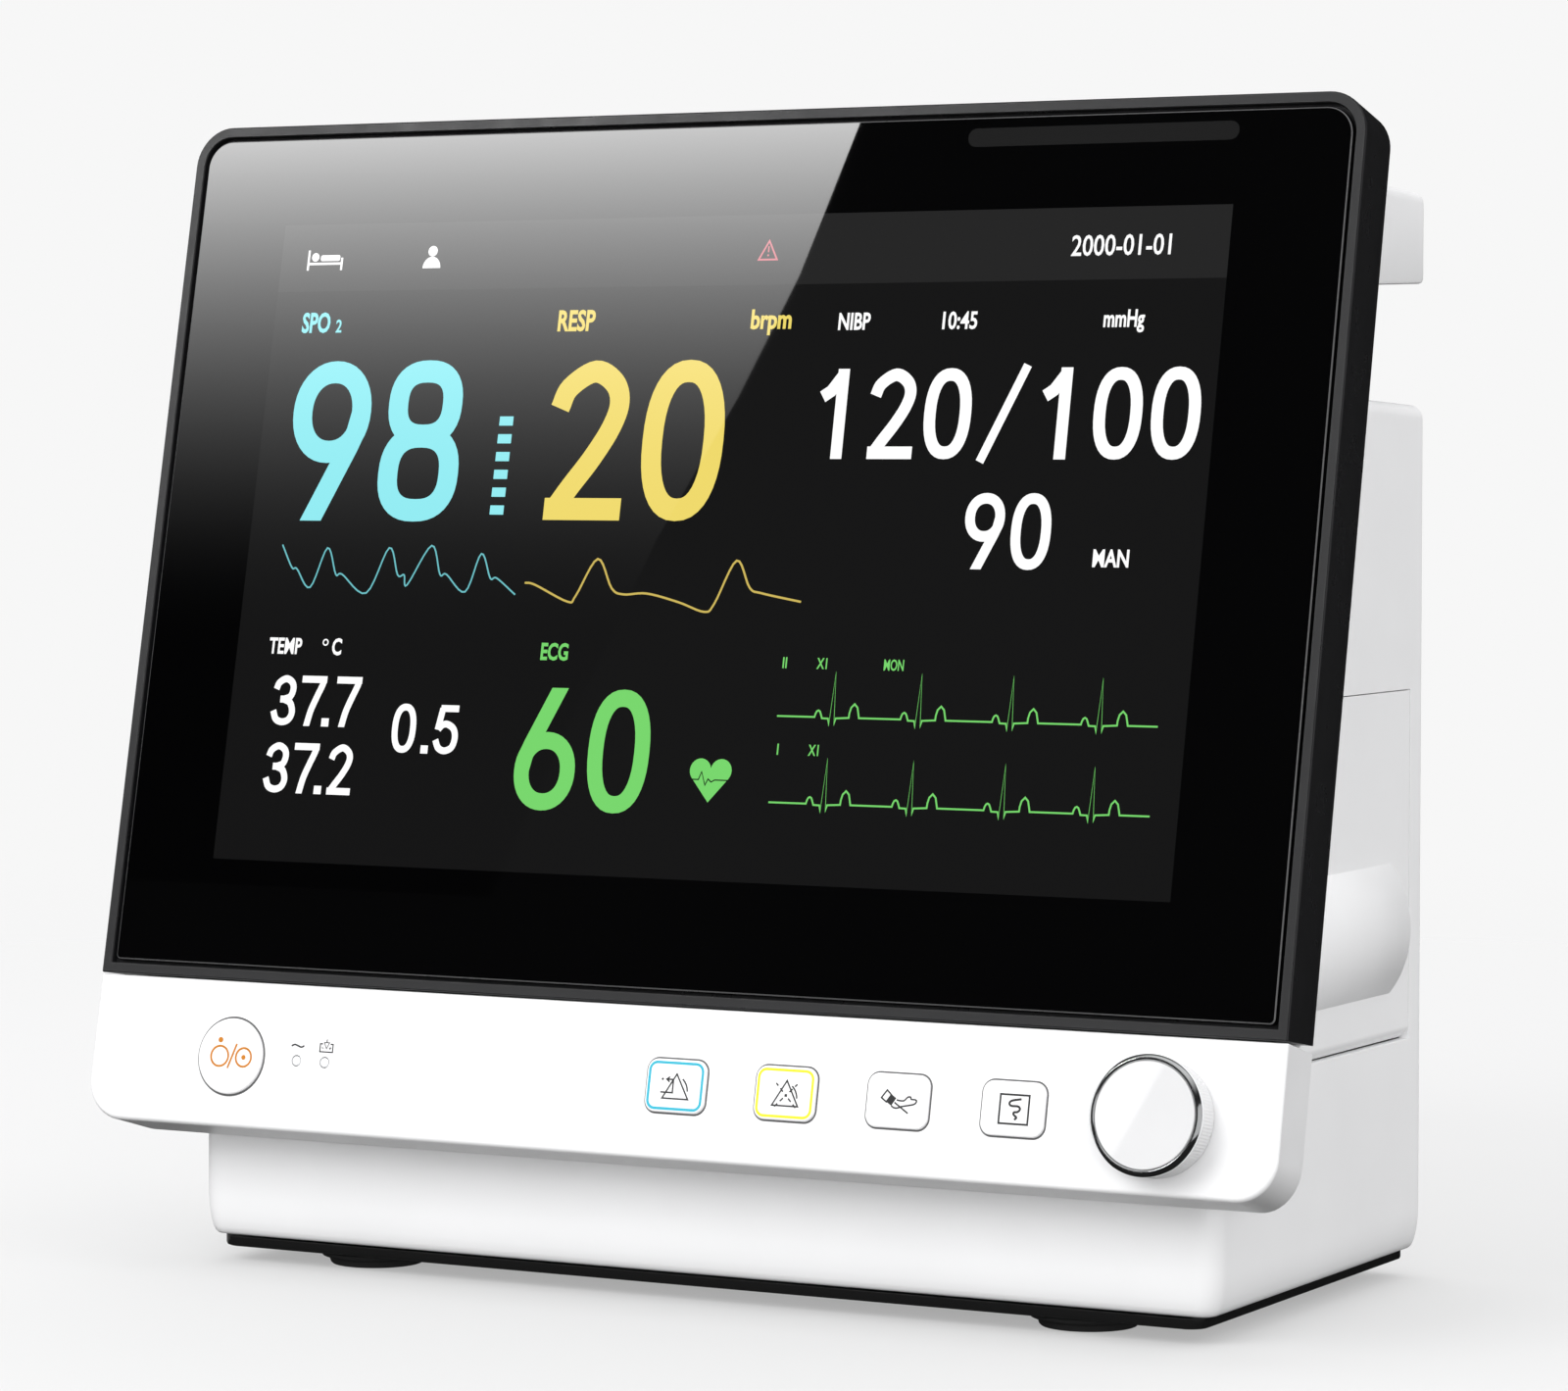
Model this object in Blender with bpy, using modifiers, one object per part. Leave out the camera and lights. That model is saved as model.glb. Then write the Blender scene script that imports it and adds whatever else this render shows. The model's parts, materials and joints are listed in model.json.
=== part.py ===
"""Bedside patient monitor with a 12 inch screen, a side recorder and parameter sockets.

The display leans back on the front of a boxy housing. +X is the viewer's right, +Y goes
to the back, +Z is up, and the origin is on the floor below the middle of the monitor.
Parts of the display are built in its own frame: X across, Y into the display, Z up it.
"""

import math

import bmesh
import bpy
from mathutils import Matrix, Vector

MM = 0.001
GAP = 0.3 * MM

# Display: a 322 x 254 mm slab that leans back by 12 degrees.
LEAN = math.radians(12)
DISPLAY_FOOT = Vector((0, -67.8, 37)) * MM
HALF_WIDTH = 161 * MM
HEIGHT = 254 * MM
DEPTH = 17 * MM
DRAFT = 0.8 * MM
CORNER = 10 * MM
SPLIT = 36.1 * MM
WALL = 2.6 * MM
GLASS_MARGIN = 2.7 * MM
GLASS_THICKNESS = 1.9 * MM
SCREEN_LOW = Vector((-131.6, 0, 65.9)) * MM
SCREEN_HIGH = Vector((129.4, 0, 229.1)) * MM

# Control strip below the screen.
CONTROL_HEIGHT = 17.4 * MM
POWER_X = -119.1 * MM
POWER_RADIUS = 9.7 * MM
# Middles of the keys and of the light pipes across the display, in millimetres.
KEY_X = {"key_alarm_pause": 7.3, "key_alarm_silence": 36.6, "key_nibp": 66.0, "key_print": 95.5}
KEY_SIZE = Vector((17.4, 0, 13.3)) * MM
KEY_CORNER = 3.4 * MM
LED_X = {"led_pipe_mains": -100.0, "led_pipe_battery": -91.8}
LED_RADIUS = 1.4 * MM
KNOB_X = 132 * MM

# Housing behind the display.
HOUSING_HALF = 139.1 * MM
HOUSING_FRONT = -44.8 * MM
BACK = 75.8 * MM
HOUSING_BOTTOM = 6.7 * MM
HOUSING_TOP = 216.2 * MM
TOP_SLOPE = -0.04
TOP_SLOPE_FROM = 60 * MM
HOUSING_CORNER = 12 * MM
REAR_CORNER = 3 * MM

# Handle: a U seen from above, carried by the display. It grows deeper towards the front.
HANDLE_WIDTH = 25 * MM
HANDLE_UNDERSIDE = 244 * MM
HANDLE_TOP = 265.9 * MM
UNDERSIDE_SLOPE = -0.035
HANDLE_TOP_SLOPE = 0.05

# Base.
PLATE_LOW = Vector((-134.8, -42.7, 3.8)) * MM
PLATE_HIGH = Vector((134.8, 72.2, 6.4)) * MM
FOOT_X = 98.5 * MM
FOOT_Y = {"front": -30.3, "rear": 52.0}

# Recorder on the right side: a door with a bulge round a 44 mm paper roll.
DOOR_LOW = Vector((136.6, -12.2, 59.7)) * MM
DOOR_HIGH = Vector((139.1, 65.8, 144.9)) * MM
ROLL_AXIS = Vector((119.3, 0, 87.5)) * MM
BULGE_RADIUS = 25.3 * MM
BULGE_ENDS = (-0.8 * MM, 55.2 * MM)
BARREL_RADIUS = 3.2 * MM
PLATEN_AXIS = Vector((129.8, 0, 134.9)) * MM
BAY_LOW = Vector((80, -11.8, 57.2)) * MM
BAY_HIGH = Vector((136.3, 64.4, 147.2)) * MM

# Rear battery door and left connector panel.
BATTERY_LOW = Vector((-127.6, 73.3, 16.4)) * MM
BATTERY_HIGH = Vector((-44.4, 75.8, 65.6)) * MM
BATTERY_HINGE_RADIUS = 2.2 * MM
PANEL_LOW = Vector((-138.3, 4.3, 74.3)) * MM
PANEL_HIGH = Vector((-135.8, 61.7, 199.7)) * MM
# Sockets: name, Y, Z, collar radius, all in millimetres.
SOCKETS = (
    ("socket_ecg", 20, 184, 9.5),
    ("socket_spo2", 20, 157, 8.5),
    ("socket_nibp", 20, 128, 8.0),
    ("socket_temp_1", 46, 157, 6.5),
    ("socket_temp_2", 46, 136, 6.5),
)
SCREWS = {
    "housing_screw_1": (-124, 203),
    "housing_screw_2": (124, 203),
    "housing_screw_3": (124, 24),
    "housing_screw_4": (-34, 24),
}

PARTS = "patient_monitor"
CUTTERS = "cutters"
# Colour, roughness and metallic value of each finish.
FINISHES = {
    "white_plastic": ((0.86, 0.86, 0.87), 0.38, 0.0),
    "black_plastic": ((0.012, 0.012, 0.013), 0.35, 0.0),
    "cover_glass": ((0.005, 0.005, 0.006), 0.03, 0.0),
    "screen_frame": ((0.05, 0.05, 0.055), 0.4, 0.0),
    "key_plastic": ((0.88, 0.88, 0.89), 0.3, 0.0),
    "light_guide": ((0.75, 0.77, 0.78), 0.2, 0.0),
    "chrome": ((0.72, 0.73, 0.74), 0.08, 1.0),
    "rubber": ((0.02, 0.02, 0.02), 0.85, 0.0),
    "sheet_metal": ((0.55, 0.56, 0.57), 0.35, 1.0),
    "steel": ((0.5, 0.5, 0.51), 0.28, 1.0),
    "circuit_board": ((0.02, 0.16, 0.07), 0.5, 0.0),
    "socket_grey": ((0.22, 0.23, 0.25), 0.45, 0.0),
    "module_plastic": ((0.1, 0.1, 0.11), 0.5, 0.0),
    "thermal_paper": ((0.9, 0.9, 0.88), 0.75, 0.0),
}
FACE_FRONT = (math.pi / 2, 0, 0)
FACE_BACK = (-math.pi / 2, 0, 0)
FACE_LEFT = (0, -math.pi / 2, 0)


def clear_scene():
    for obj in list(bpy.data.objects):
        bpy.data.objects.remove(obj, do_unlink=True)


def new_collection(name, hidden):
    collection = bpy.data.collections.new(name)
    bpy.context.scene.collection.children.link(collection)
    collection.hide_render = hidden
    return collection


def new_material(name, colour, roughness, metallic):
    material = bpy.data.materials.new(name)
    material.use_nodes = True
    shader = material.node_tree.nodes["Principled BSDF"]
    shader.inputs["Base Color"].default_value = (*colour, 1)
    shader.inputs["Roughness"].default_value = roughness
    shader.inputs["Metallic"].default_value = metallic
    material.diffuse_color = (*colour, 1)
    return material


def mm(*values):
    return Vector(values) * MM


def top_height(y):
    """Height of the housing's top, which falls slightly towards the back."""
    return HOUSING_TOP + TOP_SLOPE * (y - TOP_SLOPE_FROM)


def cube(low, high):
    bm = bmesh.new()
    bmesh.ops.create_cube(bm, size=1)
    bmesh.ops.scale(bm, vec=Vector(high) - Vector(low), verts=bm.verts)
    bmesh.ops.translate(bm, vec=(Vector(high) + Vector(low)) / 2, verts=bm.verts)
    return bm


def round_edges(bm, axis, radius, segments=4, where=None):
    """Rounds the edges that run along one axis, or only those whose middle passes where()."""
    chosen = []
    for edge in bm.edges:
        run = edge.verts[1].co - edge.verts[0].co
        middle = (edge.verts[0].co + edge.verts[1].co) / 2
        if abs(run[axis]) > 0.98 * run.length and (where is None or where(middle)):
            chosen.append(edge)
    bmesh.ops.bevel(bm, geom=chosen, offset=radius, segments=segments, profile=0.5, affect="EDGES")
    return bm


def chamfer_loop(bm, axis, level, width, segments=1):
    """Bevels the edges that lie in one plane across an axis."""
    chosen = [e for e in bm.edges if all(abs(v.co[axis] - level) < 1e-6 for v in e.verts)]
    bmesh.ops.bevel(bm, geom=chosen, offset=width, segments=segments, profile=0.5, affect="EDGES")
    return bm


def rounded(low, high, axis, radius, segments=4):
    return round_edges(cube(low, high), axis, radius, segments)


def cylinder(centre, axis, radius, start, end, segments=24):
    """A round bar along an axis, from start to end; centre gives its other two coordinates."""
    bm = bmesh.new()
    bmesh.ops.create_cone(
        bm, cap_ends=True, segments=segments, radius1=radius, radius2=radius, depth=end - start
    )
    turns = (
        Matrix.Rotation(math.pi / 2, 4, "Y"),
        Matrix.Rotation(math.pi / 2, 4, "X"),
        Matrix.Identity(4),
    )
    middle = Vector(centre)
    middle[axis] = (start + end) / 2
    bmesh.ops.transform(bm, matrix=Matrix.Translation(middle) @ turns[axis], verts=bm.verts)
    return bm


def joined(*meshes):
    """Separate solids in one mesh, for a cutter with several bodies."""
    total = bmesh.new()
    for bm in meshes:
        scratch = bpy.data.meshes.new("scratch")
        bm.to_mesh(scratch)
        bm.free()
        total.from_mesh(scratch)
        bpy.data.meshes.remove(scratch)
    return total


def place(obj, slot, parent, location, rotation):
    obj.location = location
    obj.rotation_euler = rotation
    obj.parent = parent
    obj.data.materials.append(bpy.data.materials[slot])
    bpy.data.collections[PARTS].objects.link(obj)
    return obj


def part(name, bm, slot, parent=None, origin=(0, 0, 0)):
    """A sub-part from a mesh; origin is its pivot, in the same frame as the mesh."""
    bmesh.ops.translate(bm, vec=-Vector(origin), verts=bm.verts)
    mesh = bpy.data.meshes.new(name)
    bm.to_mesh(mesh)
    bm.free()
    mesh.shade_smooth()
    mesh.set_sharp_from_angle(angle=math.radians(35))
    return place(bpy.data.objects.new(name, mesh), slot, parent, origin, (0, 0, 0))


def turned(name, profile, slot, parent, location, rotation, steps=32, ring=False):
    """A turned sub-part. The profile, in (radius, height) millimetres, runs down its outside."""
    mesh = bpy.data.meshes.new(name)
    count = len(profile)
    edges = [(i, i + 1) for i in range(count - 1)]
    if ring:
        edges.append((count - 1, 0))
    mesh.from_pydata([(r * MM, 0, h * MM) for r, h in profile], edges, [])
    obj = place(bpy.data.objects.new(name, mesh), slot, parent, location, rotation)
    screw = obj.modifiers.new("turn", "SCREW")
    screw.steps = steps
    screw.render_steps = steps
    screw.use_merge_vertices = True
    screw.merge_threshold = 1e-5
    return obj


def boolean(obj, bm, operation):
    """Cuts a helper solid from the part, or joins it on. The helper uses the part's frame."""
    helper_name = f"{obj.name}_{operation.lower()}_{len(obj.modifiers)}"
    mesh = bpy.data.meshes.new(helper_name)
    bm.to_mesh(mesh)
    bm.free()
    helper = bpy.data.objects.new(helper_name, mesh)
    helper.parent = obj.parent
    helper.hide_render = True
    helper.display_type = "WIRE"
    bpy.data.collections[CUTTERS].objects.link(helper)
    modifier = obj.modifiers.new(operation.lower(), "BOOLEAN")
    modifier.operation = operation
    modifier.object = helper
    return obj


def cut(obj, *meshes):
    return boolean(obj, joined(*meshes), "DIFFERENCE")


def join(obj, bm):
    return boolean(obj, bm, "UNION")


def lean_cutter(depth):
    """Everything in front of the plane at this depth in the display, in world coordinates."""
    bm = cube((-0.3, -0.4, -0.3), (0.3, depth, 0.5))
    turn = Matrix.Translation(DISPLAY_FOOT) @ Matrix.Rotation(-LEAN, 4, "X")
    bmesh.ops.transform(bm, matrix=turn, verts=bm.verts)
    return bm


def taper_back(bm, top, bottom):
    """Draws the slab in slightly towards its back, for mould draft."""
    for vert in bm.verts:
        if vert.co.y > DEPTH / 2:
            vert.co.x -= math.copysign(DRAFT, vert.co.x)
            if top and vert.co.z > HEIGHT / 2:
                vert.co.z -= DRAFT
            if bottom and vert.co.z < SPLIT / 2:
                vert.co.z += DRAFT
    return bm


def build_display(frame):
    inner = HALF_WIDTH - WALL
    bezel_low = SPLIT + GAP
    bm = cube((-HALF_WIDTH, 0, bezel_low), (HALF_WIDTH, DEPTH, HEIGHT))
    round_edges(bm, 1, CORNER, 6, lambda p: p.z > HEIGHT / 2)
    bezel = part("display_bezel", taper_back(bm, True, False), "black_plastic", frame)
    glass_low = bezel_low + GLASS_MARGIN
    glass_high = HEIGHT - GLASS_MARGIN
    glass_half = HALF_WIDTH - GLASS_MARGIN
    seat = cube(
        (-glass_half - GAP, -MM, glass_low - GAP),
        (glass_half + GAP, 2.6 * MM, glass_high + GAP),
    )
    round_edges(seat, 1, 7.9 * MM, 5, lambda p: p.z > HEIGHT / 2)
    ledge = 4 * MM
    window = rounded(
        (-inner + ledge, -MM, bezel_low + ledge + WALL),
        (inner - ledge, 2 * DEPTH, HEIGHT - 2 * WALL),
        1,
        4 * MM,
    )
    hollow_low = (-inner, 4.6 * MM, bezel_low + WALL)
    hollow = rounded(hollow_low, (inner, 2 * DEPTH, HEIGHT - WALL), 1, 7 * MM)
    rear_step = cube((-inner + DRAFT, 13.9 * MM, 0), (inner - DRAFT, 2 * DEPTH, HEIGHT / 2))
    cut(bezel, seat)
    cut(bezel, window)
    cut(bezel, hollow)
    cut(bezel, rear_step)

    front = 0.4 * MM
    glass = cube((-glass_half, front, glass_low), (glass_half, front + GLASS_THICKNESS, glass_high))
    round_edges(glass, 1, 7.6 * MM, 5, lambda p: p.z > HEIGHT / 2)
    round_edges(glass, 1, 1.5 * MM, 2, lambda p: p.z < HEIGHT / 2)
    part("cover_glass", chamfer_loop(glass, 1, front, 0.5 * MM), "cover_glass", frame)

    light = rounded(mm(59.6, 2.6, 243.3), mm(129.3, 5, 247.8), 1, 2.2 * MM)
    part("alarm_light_bar", light, "light_guide", frame)

    border = 6.5 * MM
    module_low = SCREEN_LOW - Vector((border, -2.7 * MM, border))
    module_high = SCREEN_HIGH + Vector((border, 9.5 * MM, border))
    module = part("lcd_module", cube(module_low, module_high), "screen_frame", frame)
    cut(module, cube(SCREEN_LOW, SCREEN_HIGH + Vector((0, 3 * MM, 0))))

    plate = part("display_chassis", cube(mm(-150, 9.8, 46), mm(150, 11.3, 244)), "sheet_metal", frame)
    slots = [rounded(mm(x - 25, 5, 84), mm(x + 25, 15, 100), 1, 4 * MM, 2) for x in (-90, 0, 90)]
    cut(plate, *slots)

    rim = 3.9 * MM
    cover = cube((-HALF_WIDTH + rim, 14.3 * MM, rim), (HALF_WIDTH - rim, 16.8 * MM, HEIGHT - rim))
    round_edges(cover, 1, 8 * MM, 4)
    back = part("display_back_cover", cover, "white_plastic", frame)
    cut(back, rounded(mm(-105, 10, 66), mm(105, 20, 176), 1, 5 * MM, 2))


def key_shape(x):
    """A key cap with a flange behind the panel and a stem that works a switch."""
    centre = Vector((x, 0, CONTROL_HEIGHT))
    half = KEY_SIZE / 2
    cap = rounded(centre - half + mm(0, -0.9, 0), centre + half + mm(0, 3.2, 0), 1, KEY_CORNER, 3)
    chamfer_loop(cap, 1, -0.9 * MM, 0.5 * MM)
    flange = rounded(
        centre - half + mm(-1, 2.9, -1), centre + half + mm(1, 3.9, 1), 1, KEY_CORNER, 3
    )
    stem = cube(centre + mm(-2, 3.5, -2), centre + mm(2, 6.3, 2))
    return cap, flange, stem


def build_controls(frame):
    inner = HALF_WIDTH - WALL
    bm = cube((-HALF_WIDTH, 0, 0), (HALF_WIDTH, DEPTH, SPLIT))
    round_edges(bm, 1, CORNER, 6, lambda p: p.z < SPLIT / 2)
    panel = part("control_panel", taper_back(bm, False, True), "white_plastic", frame)
    hollow = cube((-inner, WALL, WALL + DRAFT), (inner, 2 * DEPTH, HEIGHT / 4))
    round_edges(hollow, 1, 7 * MM, 4, lambda p: p.z < SPLIT / 2)
    cut(panel, hollow)
    power_middle = (POWER_X, 0, CONTROL_HEIGHT)
    holes = [cylinder(power_middle, 1, POWER_RADIUS + GAP, -MM, 5 * MM, 32)]
    for x in LED_X.values():
        pipe_middle = (x * MM, 0, CONTROL_HEIGHT)
        holes.append(cylinder(pipe_middle, 1, LED_RADIUS + GAP, -MM, 5 * MM, 16))
    for x in KEY_X.values():
        centre = Vector((x * MM, 0, CONTROL_HEIGHT))
        margin = KEY_SIZE / 2 + Vector((GAP, 0, GAP))
        low = centre - margin + mm(0, -1, 0)
        holes.append(rounded(low, centre + margin + mm(0, 5, 0), 1, KEY_CORNER + GAP, 3))
    holes.append(cylinder((KNOB_X, 0, CONTROL_HEIGHT), 1, 4.2 * MM, -MM, 5 * MM, 24))
    cut(panel, *holes)

    power = [
        (0, 0.7),
        (8.6, 0.9),
        (9.3, 0.7),
        (9.7, 0.3),
        (9.7, -2.9),
        (10.7, -2.9),
        (10.7, -3.9),
        (2.5, -3.9),
        (2.5, -6.3),
        (0, -6.3),
    ]
    turned("power_button", power, "key_plastic", frame, power_middle, FACE_FRONT, 40)

    for name, x in KEY_X.items():
        cap, flange, stem = key_shape(x * MM)
        key = part(name, cap, "key_plastic", frame)
        join(key, flange)
        join(key, stem)

    for name, x in LED_X.items():
        pipe = [(0, 0.1), (1.4, 0.1), (1.4, -2.9), (2.4, -2.9)]
        pipe += [(2.4, -3.9), (1.4, -3.9), (1.4, -8.8), (0, -8.8)]
        turned(name, pipe, "light_guide", frame, (x * MM, 0, CONTROL_HEIGHT), FACE_FRONT, 20)

    board = part("key_board", cube(mm(-135, 9.3, 5), mm(148, 10.9, 31)), "circuit_board", frame)
    switch_x = [POWER_X / MM, *KEY_X.values()]
    for x in switch_x:
        low = mm(x - 3, 7.7, 14.4)
        join(board, cube(low, low + mm(6, 2, 6)))


def build_knob(frame):
    """The trim knob: it turns on an encoder and is pressed to select."""
    body = cube(mm(125.5, 2.9, 10.9), mm(138.5, 9, 23.9))
    encoder = part("encoder", body, "sheet_metal", frame)
    axis = (KNOB_X, 0, CONTROL_HEIGHT)
    join(encoder, cylinder(axis, 1, 3.9 * MM, 0.3 * MM, 3.5 * MM))
    cut(encoder, cylinder(axis, 1, 3.3 * MM, -5 * MM, 12 * MM))
    plunger = [(0, -7.3), (2.8, -7.3), (2.8, -8.5), (0, -8.5)]
    turned("encoder_plunger", plunger, "socket_grey", frame, axis, FACE_FRONT, 24)
    shaft = [(0, 6.7), (2.5, 6.7), (3, 6.3), (3, -7), (0, -7)]
    turned("knob_shaft", shaft, "steel", frame, axis, FACE_FRONT, 24)
    body = [(0, 7.3), (13.3, 7.3), (13.5, 7.1), (13.5, 1), (13.2, 0.5)]
    body += [(3.3, 0.5), (3.3, 7), (0, 7)]
    turned("knob_body", body, "key_plastic", frame, axis, FACE_FRONT, 48)
    ring = [(12.5, 9.13), (12.9, 9.13), (13.8, 8.23), (13.8, 7.6), (12.5, 7.6)]
    turned("knob_ring", ring, "chrome", frame, axis, FACE_FRONT, 48, ring=True)
    cap = [(0, 9), (11.9, 9), (12.2, 8.7), (12.2, 7.6), (0, 7.6)]
    turned("knob_cap", cap, "key_plastic", frame, axis, FACE_FRONT, 48)


def build_housing():
    bm = cube((-HOUSING_HALF, HOUSING_FRONT, HOUSING_BOTTOM), (HOUSING_HALF, BACK, HOUSING_TOP))
    for vert in bm.verts:
        if vert.co.z > HOUSING_TOP / 2:
            vert.co.z = top_height(vert.co.y)
    round_edges(bm, 2, HOUSING_CORNER, 5, lambda p: p.y < 0)
    round_edges(bm, 2, REAR_CORNER, 3, lambda p: p.y > 0)
    chamfer_loop(bm, 2, HOUSING_BOTTOM, 2.5 * MM, 2)
    housing = part("main_housing", bm, "white_plastic")
    inside = cube(
        (-HOUSING_HALF + WALL, HOUSING_FRONT + WALL, HOUSING_BOTTOM + WALL),
        (HOUSING_HALF - WALL, BACK - WALL, top_height(BACK) - WALL),
    )
    round_edges(inside, 2, HOUSING_CORNER - WALL, 5)
    cut(housing, inside)
    cut(housing, lean_cutter(DEPTH + GAP))

    room = Vector((0, 0.4, 0.4)) * MM
    side = mm(8, 0, 0)
    recorder_hole = cube(DOOR_LOW - room - side, DOOR_HIGH + room + side)
    panel_hole = cube(PANEL_LOW - room - side, PANEL_HIGH + room + side)
    back_room = Vector((0.4, 0, 0.6)) * MM
    rear = mm(0, 8, 0)
    battery_hole = cube(BATTERY_LOW - back_room - rear, BATTERY_HIGH + back_room + rear)
    cut(housing, recorder_hole, panel_hole, battery_hole)

    bosses = [cylinder(mm(x, 0, z), 1, 5 * MM, 64 * MM, BACK - 1.5 * MM, 16) for x, z in SCREWS.values()]
    join(housing, joined(*bosses))
    ports = [cube(mm(7.4, 60, 19.4), mm(40.6, 90, 44.6))]
    ports.append(cube(mm(51.4, 60, 23.4), mm(68.6, 90, 37.9)))
    ports.append(cube(mm(-14.6, 60, 25.4), mm(1.6, 90, 33.6)))
    ports.append(cylinder(mm(52, 0, 60), 1, 7 * MM, 60 * MM, 90 * MM))
    shanks = []
    for x, z in SCREWS.values():
        ports.append(cylinder(mm(x, 0, z), 1, 3.5 * MM, 70 * MM, 90 * MM, 16))
        shanks.append(cylinder(mm(x, 0, z), 1, 1.85 * MM, 60 * MM, 80 * MM, 16))
    vents = []
    for x_from, x_to, z_low, z_high in ((0, 100, 150, 188), (-96, -40, 155, 183)):
        for x in range(x_from, x_to, 9):
            vents.append(rounded(mm(x, 60, z_low), mm(x + 3.4, 90, z_high), 1, 1.6 * MM, 2))
    cut(housing, *ports)
    cut(housing, *shanks)
    cut(housing, *vents)


def build_handle():
    """A U-shaped handle: two arms from the display's back and a bar across."""
    inner = HOUSING_HALF - HANDLE_WIDTH
    front = -20 * MM
    bm = cube((-HOUSING_HALF, front, HANDLE_UNDERSIDE), (HOUSING_HALF, BACK, HANDLE_TOP))
    for vert in bm.verts:
        upper = vert.co.z > (HANDLE_UNDERSIDE + HANDLE_TOP) / 2
        slope = HANDLE_TOP_SLOPE if upper else UNDERSIDE_SLOPE
        vert.co.z += slope * (BACK - vert.co.y)
    round_edges(bm, 2, REAR_CORNER, 3, lambda p: p.y > 0)
    handle = part("handle", bm, "white_plastic")
    hand = rounded((-inner, 2 * front, 0.2), (inner, BACK - HANDLE_WIDTH, 0.3), 2, 10 * MM, 5)
    cut(handle, hand)
    cut(handle, lean_cutter(DEPTH + 0.1 * MM))


def build_base():
    plate = rounded(PLATE_LOW, PLATE_HIGH, 2, 5 * MM, 3)
    chamfer_loop(plate, 2, PLATE_LOW.z, 0.8 * MM)
    part("bottom_plate", plate, "black_plastic")
    foot = [(0, 3.5), (12.8, 3.5), (12.8, 1.9), (10.6, 1.7), (10.4, 0.4), (10, 0), (0, 0)]
    for depth_name, y in FOOT_Y.items():
        for side_name, x in (("left", -FOOT_X), ("right", FOOT_X)):
            name = f"foot_{depth_name}_{side_name}"
            turned(name, foot, "rubber", None, (x, y * MM, 0), (0, 0, 0), 32)


def arc(centre, radius, start, end, count):
    """Points (x, z) along an arc; angles in degrees from +X towards +Z."""
    points = []
    for i in range(count + 1):
        angle = math.radians(start + (end - start) * i / count)
        points.append((centre.x + radius * math.cos(angle), centre.z + radius * math.sin(angle)))
    return points


def side_prism(points, y_start, y_end):
    """An (x, z) outline drawn as a flat curve, extruded along Y and made a welded mesh."""
    curve = bpy.data.curves.new("outline", "CURVE")
    curve.dimensions = "2D"
    curve.fill_mode = "BOTH"
    curve.extrude = (y_end - y_start) / 2
    spline = curve.splines.new("POLY")
    spline.points.add(len(points) - 1)
    spline.use_cyclic_u = True
    for point, (x, z) in zip(spline.points, points):
        point.co = (x, z, 0, 1)
    drawn = bpy.data.objects.new("outline", curve)
    mesh = bpy.data.meshes.new_from_object(drawn)
    bpy.data.objects.remove(drawn)
    bm = bmesh.new()
    bm.from_mesh(mesh)
    bpy.data.meshes.remove(mesh)
    bmesh.ops.remove_doubles(bm, verts=bm.verts, dist=1e-6)
    turn = Matrix.Rotation(math.pi / 2, 4, "X")
    shift = Matrix.Translation((0, (y_start + y_end) / 2, 0))
    bmesh.ops.transform(bm, matrix=shift @ turn, verts=bm.verts)
    bmesh.ops.recalc_face_normals(bm, faces=bm.faces)
    return bm


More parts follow.
